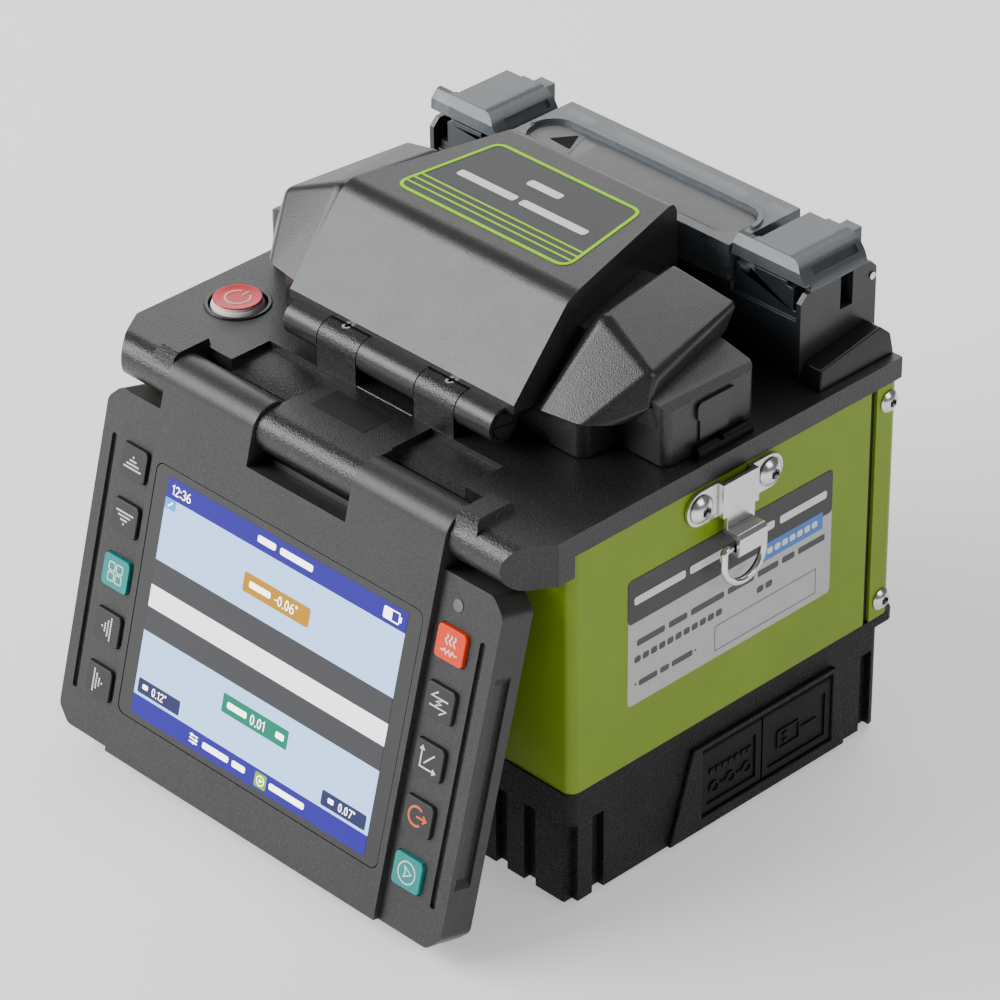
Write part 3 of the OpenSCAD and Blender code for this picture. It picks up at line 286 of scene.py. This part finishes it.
def ink(name, colour, roughness=0.4, metallic=0.0, specular=0.4):
    """A printed colour, made once for each name."""
    if name not in INKS:
        finish = Finish("ink_" + name, colour, roughness, metallic, Specular_IOR_Level=specular)
        finish.mottle(0.03, 300).grain(3200, 0.00001)
        INKS[name] = finish.material
    return INKS[name]


def lit(name, radiance):
    """A colour of the lit screen, with the light it gives."""
    if name not in INKS:
        strength = max(radiance)
        glow = tuple(value / strength for value in radiance)
        unlit = tuple(0.02 * value for value in glow)
        dimmer = tuple(0.97 * value for value in glow)
        finish = Finish("lit_" + name, unlit, 0.3, Specular_IOR_Level=0.2)
        finish.mottle(0.05, 300)
        shade = finish.mix(finish.spread(finish.noise(30, 1), 0.3, 0.7), dimmer, glow)
        finish.join(shade, finish.shader.inputs["Emission Color"])
        finish.shader.inputs["Emission Strength"].default_value = strength
        INKS[name] = finish.material
    return INKS[name]


# ---------------------------------------------------------------- CAD nodes

def soften(name, width, segments=2, angle=28):
    """Rounds the edges of a CAD node with modifiers and leaves its own mesh alone."""
    node = NODES[name]
    weld = node.modifiers.new("weld", "WELD")
    weld.merge_threshold = 2e-6
    flat = node.modifiers.new("flat", "DECIMATE")
    flat.decimate_type = "DISSOLVE"
    flat.angle_limit = math.radians(0.5)
    bevel = node.modifiers.new("edge", "BEVEL")
    bevel.width = width * MM
    bevel.segments = segments
    bevel.limit_method = "ANGLE"
    bevel.angle_limit = math.radians(angle)
    bevel.use_clamp_overlap = True
    even = node.modifiers.new("even", "WEIGHTED_NORMAL")
    even.mode = "FACE_AREA"
    even.weight = 60
    for face in node.data.polygons:
        face.use_smooth = True


def dress_nodes(finishes):
    """Gives each CAD node the material of its slot."""
    slots = {part["node"]: part["material_slot"] for part in frame["record"]["subparts"]}
    for name, node in NODES.items():
        node.data.materials.clear()
        node.data.materials.append(finishes[slots[name]].material)


# ---------------------------------------------------------------- flat work: prints, icons, labels

class Sheet:
    """Thin raised shapes on a plane, high above it; u runs to the right, v up, in millimetres."""

    def __init__(self, name, body, slot, origin, u, v, lift=None):
        self.name, self.body, self.slot = name, body, slot
        self.origin = Vector(origin)
        self.u, self.v = Vector(u).normalized(), Vector(v).normalized()
        self.out = self.u.cross(self.v)
        self.lift = lift
        self.mesh = bmesh.new()
        self.inks = []

    def corner(self, x, y, z):
        """A vertex x, y on the plane and z above it."""
        if self.lift:
            z += self.lift(x, y)
        return self.mesh.verts.new((self.origin + self.u * x + self.v * y + self.out * z) * MM)

    def ink_index(self, material):
        if material not in self.inks:
            self.inks.append(material)
        return self.inks.index(material)

    def fill(self, points, material, high=0.06):
        """A solid plate with this outline, given counterclockwise."""
        index = self.ink_index(material)
        bottom = [self.corner(x, y, 0) for x, y in points]
        top = [self.corner(x, y, high) for x, y in points]
        count = len(points)
        faces = [self.mesh.faces.new(top), self.mesh.faces.new(bottom[::-1])]
        for i in range(count):
            k = (i + 1) % count
            faces.append(self.mesh.faces.new((bottom[i], bottom[k], top[k], top[i])))
        for face in faces:
            face.material_index = index

    def stroke(self, points, width, material, closed=False, high=0.06):
        """A band of even width along a polyline."""
        index = self.ink_index(material)
        count = len(points)
        rows = []
        for i, point in enumerate(points):
            before = points[i - 1] if closed or i else point
            after = points[(i + 1) % count] if closed or i < count - 1 else point
            a, p, b = Vector(before), Vector(point), Vector(after)
            first = (p - a).normalized() if (p - a).length > 1e-9 else (b - p).normalized()
            last = (b - p).normalized() if (b - p).length > 1e-9 else first
            way = (first + last).normalized() if (first + last).length > 1e-6 else first
            reach = width / 2 / max(0.5, way.dot(first))
            off = Vector((-way.y, way.x)) * reach
            rows.append([self.corner(*(p - off), 0), self.corner(*(p + off), 0),
                         self.corner(*(p + off), high), self.corner(*(p - off), high)])
        faces = []
        for i in range(count if closed else count - 1):
            a, b = rows[i], rows[(i + 1) % count]
            for k in range(4):
                faces.append(self.mesh.faces.new((a[k], b[k], b[(k + 1) % 4], a[(k + 1) % 4])))
        if not closed:
            faces.append(self.mesh.faces.new(rows[0]))
            faces.append(self.mesh.faces.new(rows[-1][::-1]))
        for face in faces:
            face.material_index = index

    def bar(self, x0, y0, x1, y1, material, r=0.0, high=0.06):
        """A rectangle with rounded corners."""
        self.fill(rounded(x0, y0, x1, y1, r), material, high)

    def words(self, x0, y0, x1, y1, lengths, material, gap=0.35, high=0.06):
        """A row of bars that stands for a line of print."""
        total = sum(lengths) + gap * (len(lengths) - 1)
        scale = (x1 - x0) / total
        at = x0
        for length in lengths:
            self.bar(at, y0, at + length * scale, y1, material, (y1 - y0) * 0.3, high)
            at += (length + gap) * scale

    def digits(self, text, x0, y0, height, material, high=0.06):
        """Numbers in plain round strokes, starting at x0 on the line y0; o is a degree ring."""
        line = height * 0.105
        for letter in text:
            if letter in ":.o":
                for level in {":": (0.15, 0.65), ".": (0.06,), "o": ()}[letter]:
                    dot = circle(x0 + line * 0.7, y0 + level * height, line * 0.75, 10)
                    self.fill(dot, material, high)
                if letter == "o":
                    self.stroke(circle(x0 + height * 0.14, y0 + height * 0.86, height * 0.11, 14),
                                line * 0.7, material, True, high)
                x0 += height * 0.26
                continue
            points = [(x0 + x * height, y0 + y * height) for x, y in digit_path(letter)]
            self.stroke(points, line, material, letter == "0", high)
            x0 += height * (0.45 if letter in "1-" else 0.66)

    def build(self):
        bmesh.ops.recalc_face_normals(self.mesh, faces=self.mesh.faces)
        data = bpy.data.meshes.new(self.name)
        self.mesh.to_mesh(data)
        self.mesh.free()
        for material in self.inks:
            data.materials.append(material)
        made = bpy.data.objects.new(self.name, data)
        bpy.context.scene.collection.objects.link(made)
        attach(made, self.body)
        return made


def arc(cx, cy, r, start, end, steps=16):
    """Points along a circle from one angle to another, in degrees."""
    turns = [math.radians(start + (end - start) * i / steps) for i in range(steps + 1)]
    return [(cx + r * math.cos(t), cy + r * math.sin(t)) for t in turns]


def circle(cx, cy, r, steps=28):
    return arc(cx, cy, r, 0, 360, steps)[:-1]


def digit_path(letter):
    """The strokes of a digit, or else of a minus sign, in a field 0.5 wide and 1 high."""
    if letter == "0":
        return [(0.26 + 0.2 * math.cos(t / 12 * math.pi), 0.5 + 0.44 * math.sin(t / 12 * math.pi))
                for t in range(24)]
    if letter == "1":
        return [(0.02, 0.76), (0.22, 0.94), (0.22, 0.03)]
    if letter == "2":
        return arc(0.26, 0.71, 0.22, 165, -35, 12) + [(0.04, 0.05), (0.5, 0.05)]
    if letter == "3":
        return arc(0.24, 0.72, 0.21, 150, -80, 12) + arc(0.24, 0.28, 0.24, 78, -150, 12)
    if letter == "6":
        return [(0.42, 0.94), (0.2, 0.8), (0.06, 0.55)] + arc(0.27, 0.29, 0.23, 165, 510, 20)
    if letter == "7":
        return [(0.03, 0.94), (0.5, 0.94), (0.2, 0.03)]
    return [(0.05, 0.42), (0.33, 0.42)]


def rounded(x0, y0, x1, y1, r, steps=5):
    """A rectangle's outline with round corners, counterclockwise."""
    r = min(r, (x1 - x0) / 2 - 1e-4, (y1 - y0) / 2 - 1e-4)
    if r <= 0.01:
        return [(x0, y0), (x1, y0), (x1, y1), (x0, y1)]
    return (arc(x1 - r, y0 + r, r, -90, 0, steps) + arc(x1 - r, y1 - r, r, 0, 90, steps)
            + arc(x0 + r, y1 - r, r, 90, 180, steps) + arc(x0 + r, y0 + r, r, 180, 270, steps))


def rounded_outline(corners, r, steps=5):
    """Any outline with its corners rounded, as points."""
    made = []
    count = len(corners)
    for i in range(count):
        a, p, b = (Vector(corners[(i + k) % count]) for k in (-1, 0, 1))
        u, v = (a - p).normalized(), (b - p).normalized()
        half = math.acos(max(-1, min(1, u.dot(v)))) / 2
        reach = r / math.tan(half)
        start, end = p + u * reach, p + v * reach
        for k in range(steps + 1):
            t = k / steps
            made.append(tuple(start * (1 - t) ** 2 + p * 2 * t * (1 - t) + end * t ** 2))
    return made


def on_display(x, y, depth):
    """A point of the display's own plane: x to the right, y down from the hinge, depth inwards."""
    return PIVOT + Vector((x, depth * math.cos(TILT) - y * math.sin(TILT),
                           -depth * math.sin(TILT) - y * math.cos(TILT)))


def display_sheet(name, body, slot, x, y, depth):
    """A sheet on the display's face with its origin x from the middle and y below the hinge."""
    return Sheet(name, body, slot, on_display(x, y, depth), (1, 0, 0),
                 (0, math.sin(TILT), math.cos(TILT)))


def make_screen():
    """The splicer's result page: two fiber halves seen from the side, and the readings."""
    blue = lit("page_blue", (0.045, 0.022, 0.51))
    pale = lit("page_pale", (1.0, 1.6, 2.6))
    dark = lit("page_dark", (0.07, 0.07, 0.077))
    light = lit("page_light", (2.6, 2.6, 2.6))
    white = lit("page_white", (4.5, 4.5, 4.5))
    yellow = lit("page_yellow", (0.95, 0.46, 0.0))
    green = lit("page_green", (0.0, 0.36, 0.22))
    navy = lit("page_navy", (0.035, 0.045, 0.16))
    cyan = lit("page_cyan", (0.12, 0.8, 1.8))
    lime = lit("page_lime", (0.36, 0.9, 0.0))
    page = display_sheet("screen_page", "display", "screen", 0, 0, -6.92)
    wide = 43.6
    for top, bottom, paint in ((22.6, 28.1, blue), (28.1, 45.4, pale), (45.4, 52.4, dark),
                               (52.4, 58.5, light), (58.5, 65.2, dark), (65.2, 83.0, pale),
                               (83.0, 88.5, blue)):
        page.bar(-wide, -bottom, wide, -top, paint, 0, 0.05)
    page.bar(-12.2, -40.6, 12.0, -35.3, yellow, 0.7, 0.09)
    page.bar(-12.2, -74.1, 12.0, -68.9, green, 0.3, 0.09)
    page.bar(-42.5, -82.2, -26.6, -78.1, navy, 0.5, 0.09)
    page.bar(26.4, -82.2, 42.4, -78.1, navy, 0.5, 0.09)
    page.bar(-43.6, -31.0, -39.6, -28.1, cyan, 0, 0.09)
    page.stroke([(-42.4, -30.3), (-40.8, -28.9)], 0.4, white, False, 0.12)
    page.digits("12:36", -41.8, -26.8, 2.7, white, 0.09)
    page.words(-9.8, -26.2, 10.2, -24.4, (2, 3.6), white, 0.5, 0.09)
    page.words(-10.0, -38.8, -2.2, -37.1, (1,), white, 0.3, 0.12)
    page.digits("-0.06o", -0.8, -39.4, 2.8, white, 0.12)
    page.words(-10.4, -72.4, -3.2, -70.7, (1,), white, 0.3, 0.12)
    page.digits("0.01", -1.8, -73.0, 2.8, white, 0.12)
    page.bar(7.6, -72.4, 10.6, -70.7, white, 0.4, 0.12)
    page.bar(-40.8, -80.7, -38.8, -79.4, white, 0.3, 0.12)
    page.digits("0.12o", -37.2, -81.3, 2.3, white, 0.12)
    page.bar(28.8, -80.7, 30.8, -79.4, white, 0.3, 0.12)
    page.digits("0.07o", 32.6, -81.3, 2.3, white, 0.12)
    page.stroke(rounded(35.7, -26.8, 41.0, -24.0, 0.3), 0.3, white, True, 0.09)
    page.bar(35.8, -26.7, 38.5, -24.1, white, 0.1, 0.1)
    page.bar(41.2, -26.1, 41.8, -24.7, white, 0.1, 0.09)
    for k in range(3):
        y = -84.7 - 0.95 * k
        page.stroke([(-21.5, y), (-18.5, y)], 0.32, white, False, 0.09)
        x = -20.8 + 0.9 * ((k * 2) % 3)
        page.bar(x - 0.3, y - 0.4, x + 0.3, y + 0.4, white, 0.1, 0.1)
    page.words(-16.6, -86.5, -0.6, -84.8, (3.4, 1.7), white, 0.5, 0.09)
    page.bar(3.1, -87.8, 7.3, -83.8, lime, 0.5, 0.09)
    page.stroke(circle(5.2, -85.8, 1.3), 0.25, white, True, 0.12)
    page.fill([(4.8, -86.4), (6.1, -85.8), (4.8, -85.2)], white, 0.12)
    page.words(8.4, -86.5, 21.2, -84.8, (1,), white, 0.5, 0.09)
    page.build()


def key_sheet(name, side, row):
    """A sheet with its origin at the middle of a key's face."""
    return display_sheet("icon_" + name, "key_" + name, "key_plastic", side * 57.8,
                         25.1 + 15.35 * row, -6.3)


def dotted(sheet, turn, material):
    """A triangle of dots that points up at 0 degrees and turns counterclockwise."""
    c, s = math.cos(math.radians(turn)), math.sin(math.radians(turn))
    for row, count in enumerate((1, 4, 7, 10)):
        for k in range(count):
            x, y = (k - (count - 1) / 2) * 0.66, 1.55 - row * 1.04
            sheet.fill(circle(x * c - y * s, x * s + y * c, 0.29, 8), material, 0.07)


def make_key_icons():
    white = ink("print_white", (0.8, 0.8, 0.8), 0.45)
    orange = ink("print_orange", (0.85, 0.13, 0.02), 0.45)
    for name, side, row, turn in (("up", -1, 0, 0), ("down", -1, 1, 180), ("left", -1, 3, 90),
                                  ("right", -1, 4, 270)):
        sheet = key_sheet(name, side, row)
        dotted(sheet, turn, white)
        sheet.build()
    menu = key_sheet("menu", -1, 2)
    for x in (-1.42, 1.42):
        for y in (-1.42, 1.42):
            menu.stroke(rounded(x - 1.12, y - 1.12, x + 1.12, y + 1.12, 0.35), 0.34, white, True)
    menu.build()
    heat = key_sheet("heat", 1, 0)
    for x in (-1.3, 0, 1.3):
        heat.stroke([(x + 0.34 * math.sin(t * 0.9), 2.6 - t * 0.3) for t in range(10)], 0.4, white)
    heat.stroke([(-2.8, -1.9), (-1.9, -1.9), (-1.4, -1.3), (-0.8, -2.5), (-0.1, -1.3), (0.6, -2.5),
                 (1.2, -1.3), (1.7, -1.9), (2.8, -1.9)], 0.36, white)
    heat.build()
    bolt = key_sheet("arc", 1, 1)
    bolt.stroke([(-0.7, 2.7), (-2.7, 1.2), (2.9, 1.2)], 0.4, white)
    bolt.stroke([(-2.9, -1.3), (2.7, -1.3), (0.7, -2.8)], 0.4, white)
    bolt.stroke([(0.9, 0.9), (-0.9, 0.1), (0.9, -0.1), (-0.9, -0.9)], 0.34, white)
    bolt.build()
    axis = key_sheet("axis", 1, 2)
    axis.stroke([(-2.4, 2.8), (-2.4, -2.4), (2.8, -2.4)], 0.4, white)
    axis.stroke([(-3.1, 1.9), (-2.4, 2.9), (-1.7, 1.9)], 0.38, white)
    axis.stroke([(1.9, -1.7), (2.9, -2.4), (1.9, -3.1)], 0.38, white)
    axis.stroke([(-1.2, -1.2), (1.9, 1.9)], 0.38, white)
    axis.build()
    leave = key_sheet("exit", 1, 3)
    leave.stroke(arc(-0.4, 0, 2.5, 50, 310, 24), 0.62, orange)
    leave.stroke([(-0.3, 0), (2.9, 0)], 0.5, orange)
    leave.stroke([(1.9, 1.0), (3.1, 0), (1.9, -1.0)], 0.5, orange)
    leave.build()
    play = key_sheet("play", 1, 4)
    play.stroke(circle(0, 0, 2.9, 40), 0.34, white, True)
    play.stroke([(-0.9, 1.5), (1.6, 0.05), (-0.9, -1.4), (-0.35, 0.05)], 0.34, white, True)
    play.build()


def make_prints():
    """Plate on the hood, label on the side, sticker and a painted highlight strip on the deck, and
    marks on the flaps.
    """
    white = ink("print_white", (0.8, 0.8, 0.8), 0.45)
    lime = ink("print_lime", (0.36, 0.8, 0.0), 0.5, specular=0.05)
    plate = ink("plate_grey", (0.035, 0.035, 0.036), 0.45)
    hood = Sheet("hood_plate", "cover", "cover_paint", (0, 0, HOOD_TOP), (1, 0, 0),
                 (0, math.cos(HOOD_RISE), math.sin(HOOD_RISE)))
    outline = rounded_outline([(-30.0, -12.7), (30.0, -12.7), (25.0, 18.9), (-25.0, 18.9)], 3.4)
    hood.fill(outline, plate, 0.04)
    hood.stroke(outline, 0.95, lime, True, 0.14)
    for y, w in ((-5.0, 28.6), (-7.3, 29.0), (-9.6, 29.3)):
        hood.stroke([(-w, y), (w, y)], 0.55, lime, False, 0.12)
    hood.words(-22.4, 0.8, 22.6, 3.4, (3.2, 3.6), white, 0.28, 0.12)
    hood.words(-5.8, 9.0, 5.8, 11.6, (1,), white, 0.3, 0.12)
    hood.build()

    silver = ink("label_silver", (0.5, 0.5, 0.505), 0.42)
    header = ink("label_dark", (0.045, 0.045, 0.047), 0.45)
    chip = ink("label_blue", (0.07, 0.2, 0.62), 0.45)
    print_dark = ink("label_print", (0.07, 0.07, 0.075), 0.5)
    label = Sheet("side_label", "case", "green_paint", (SIDE_X, 0, 0), (0, 1, 0), (0, 0, 1))
    label.bar(-37.3, 51.2, 35.8, 88.0, silver, 1.2, 0.12)
    label.bar(-37.3, 75.3, 35.8, 88.0, header, 1.2, 0.15)
    label.bar(10.0, 71.8, 32.4, 76.8, chip, 0.2, 0.19)
    label.words(-35.2, 80.4, -3.2, 82.7, (3.4, 2.4), white, 0.3, 0.2)
    label.words(10.5, 80.4, 33.6, 82.7, (0.6, 2.6), white, 0.3, 0.2)
    label.words(12.0, 73.4, 30.4, 75.2, (1, 1, 1, 1, 1, 1, 1), white, 0.35, 0.23)
    label.words(-34.2, 68.0, 33.4, 69.9, (3, 2, 3.6, 2.9, 2.3, 1.4, 3), print_dark, 0.4, 0.15)
    label.words(-35.0, 63.3, -4.0, 65.2, (1,) * 11, print_dark, 0.3, 0.15)
    label.words(8.6, 63.3, 14.2, 65.2, (1, 1), print_dark, 0.3, 0.15)
    label.words(-33.4, 56.0, -14.4, 57.7, (2.3, 1.1, 2.6), print_dark, 0.35, 0.15)
    for y in (-34.6, -13.4):
        label.fill(circle(y, 57.0, 0.35, 10), print_dark, 0.15)
    label.stroke(rounded(-6.4, 53.3, 30.4, 60.6, 0.1), 0.22, print_dark, True, 0.15)
    label.build()

    film = ink("sensor_film", (0.006, 0.006, 0.007), 0.5)
    # a thin bright metal strip behind the sticker is a painted highlight of the hinge gap's lit edge
    painted_highlight = ink("painted_edge_highlight", (0.7, 0.7, 0.7), 0.3, 1)
    deck = Sheet("deck_film_and_highlight", "case", "deck_paint", (0, 0, DECK_TOP), (1, 0, 0), (0, 1, 0))
    deck.bar(-12.2, -59.4, 7.0, -50.2, film, 0.4, 0.08)
    deck.bar(-10.2, -45.55, 9.7, -45.1, painted_highlight, 0.1, 0.1)
    deck.build()

    rubber = FINISHES["soft_rubber"].material
    for name, y, marks in (("power", -10.7, "rings"), ("data", 11.8, "plug")):
        flap = Sheet("mark_" + name, "port_flap_" + name, "soft_rubber", (FLAP_X, y, 0), (0, 1, 0),
                     (0, 0, 1))
        if marks == "rings":
            for x in (5.0, 11.0, 17.0):
                flap.stroke(circle(x, 11.6, 1.5, 20), 0.55, rubber, True, 0.4)
            for x0, x1 in ((6.8, 9.2), (12.8, 15.2)):
                flap.stroke([(x0, 11.6), (x1, 11.6)], 0.5, rubber, False, 0.4)
            for k in range(7):
                flap.bar(3.2 + k * 2.3, 16.0, 4.9 + k * 2.3, 17.6, rubber, 0.3, 0.4)
        else:
            flap.stroke(rounded(6.0, 11.2, 14.0, 16.6, 0.6), 0.6, rubber, True, 0.4)
            flap.stroke([(14.3, 13.9), (20.5, 13.9)], 0.6, rubber, False, 0.4)
            flap.bar(8.0, 14.4, 9.6, 15.5, rubber, 0.2, 0.4)
            flap.bar(8.0, 12.3, 9.6, 13.4, rubber, 0.2, 0.4)
        flap.build()


# ---------------------------------------------------------------- turned pieces

def turned(name, body, material, at, axis, profile, sides=48, hollow=0.0):
    """A closed piece turned from (radius, height) points around an axis, with a hexagon
    socket of the given radius sunk in its end if hollow is over 0."""
    axis = Vector(axis).normalized()
    across = axis.orthogonal().normalized()
    other = axis.cross(across)
    mesh = bmesh.new()
    rings = []
    for radius, height in profile:
        ring = []
        for i in range(sides):
            t = 2 * math.pi * i / sides
            spot = Vector(at) + axis * height + (across * math.cos(t) + other * math.sin(t)) * radius
            ring.append(mesh.verts.new(spot * MM))
        rings.append(ring)
    if hollow:
        for height in (profile[-1][1], profile[-1][1] - hollow * 0.8):
            ring = []
            for i in range(sides):
                t = 2 * math.pi * i / sides
                sector = (t + math.pi / 6) % (math.pi / 3) - math.pi / 6
                reach = hollow * math.cos(math.pi / 6) / math.cos(sector)
                spot = Vector(at) + axis * height + (across * math.cos(t) + other * math.sin(t)) * reach
                ring.append(mesh.verts.new(spot * MM))
            rings.append(ring)
    for a, b in zip(rings, rings[1:]):
        for i in range(sides):
            k = (i + 1) % sides
            mesh.faces.new((a[i], a[k], b[k], b[i]))
    mesh.faces.new(rings[0][::-1])
    mesh.faces.new(rings[-1])
    bmesh.ops.recalc_face_normals(mesh, faces=mesh.faces)
    data = bpy.data.meshes.new(name)
    mesh.to_mesh(data)
    mesh.free()
    data.materials.append(material)
    for face in data.polygons:
        face.use_smooth = True
    data.set_sharp_from_angle(angle=math.radians(32))
    made = bpy.data.objects.new(name, data)
    bpy.context.scene.collection.objects.link(made)
    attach(made, body)
    return made


def make_power_face():
    """Red dished face of the power button with its plain on-off mark."""
    red = ink("button_red", (0.68, 0.02, 0.028), 0.3)
    mark = ink("button_mark", (0.8, 0.55, 0.45), 0.4)
    at = (-61.6, -39.1, BUTTON_TOP)
    r = 6.45
    turned("power_face", "power_button", red, at, (0, 0, 1),
           [(r - 0.15, 0), (r, 0.2), (r, 0.55), (r - 0.25, 0.75), (r - 0.6, 0.74), (r - 1.2, 0.62),
            (r * 0.5, 0.5), (0.6, 0.46)])
    face = Sheet("power_mark", "power_button", "red_cap", at, (1, 0, 0), (0, 1, 0),
                 lambda x, y: 0.45 + 0.17 * (math.hypot(x, y) / 5.2) ** 2)
    face.stroke(arc(0, 0, 3.3, 118, 422, 40), 0.55, mark, False, 0.09)
    face.stroke([(0, 1.5), (0, 2.5), (0, 3.9)], 0.55, mark, False, 0.09)
    face.build()


def make_rear_screws():
    """Screws in the four pockets behind the display."""
    steel = FINISHES["dark_steel"].material
    outwards = Vector((0, math.cos(TILT), -math.sin(TILT)))
    for i, (x, y) in enumerate(((-64, 95), (64, 95), (-64, 16), (64, 16))):
        turned("rear_screw_%d" % (i + 1), "display", steel, on_display(x, y, 4.3), outwards,
               [(2.3, 0), (2.3, 0.3), (2.1, 0.7), (1.6, 0.95), (1.2, 1.0)], 36, 1.0)


def make_lid_marks():
    """Two pads in the lid's pocket, and a plain dark triangle on the first."""
    dark = ink("lid_dark", (0.008, 0.008, 0.009), 0.6, specular=0.06)
    pad = ink("lid_pad", (0.16, 0.16, 0.162), 0.5)
    sheet = Sheet("lid_marks", "heater_lid", "smoked", (0, 0, POCKET_FLOOR), (1, 0, 0), (0, 1, 0))
    pad_outline = [(-21.5, 38.7), (-25.4, 50.3)] + arc(-31.4, 44.4, 5.9, 90, 270, 20)
    sheet.fill(pad_outline, pad, 0.1)
    sheet.fill(rounded_outline([(-31.6, 43.1), (-23.6, 42.6), (-27.1, 49.6)], 0.4, 3), dark, 0.16)
    sheet.fill(rounded(-19.5, 38.7, 36.6, 50.2, 3.2), pad, 0.08)
    sheet.build()


def make_pieces():
    make_screen()
    make_key_icons()
    make_prints()
    make_power_face()
    make_rear_screws()
    make_lid_marks()


# Edge rounding of the CAD nodes, in millimetres
EDGE_WIDTHS = {
    "deck": 0.7, "display_front": 0.6, "display_rear": 0.6, "wind_cover": 0.6, "base_boot": 0.6,
    "port_frame": 0.3, "heater_housing": 0.4, "heater_brackets": 0.35, "heater_foot_blocks": 0.5,
    "heater_lid": 0.4, "heater_clamp_left": 0.35, "heater_clamp_right": 0.35,
    "hanger_brackets": 0.2, "cover_pads": 0.25, "green_shell": 0.5, "rear_shell": 0.5,
    "power_cap": 0.2, "power_ring": 0.25,
}
KEY_EDGE = 0.5


def soften_nodes():
    """Rounds the housings, the metalwork and the ten keys."""
    for name, width in EDGE_WIDTHS.items():
        soften(name, width)
    for name in NODES:
        if name.startswith("key_") and name != "key_mat":
            soften(name, KEY_EDGE, 3)


make_camera()
make_studio()
FINISHES = build_finishes()
dress_nodes(FINISHES)
soften_nodes()
make_pieces()
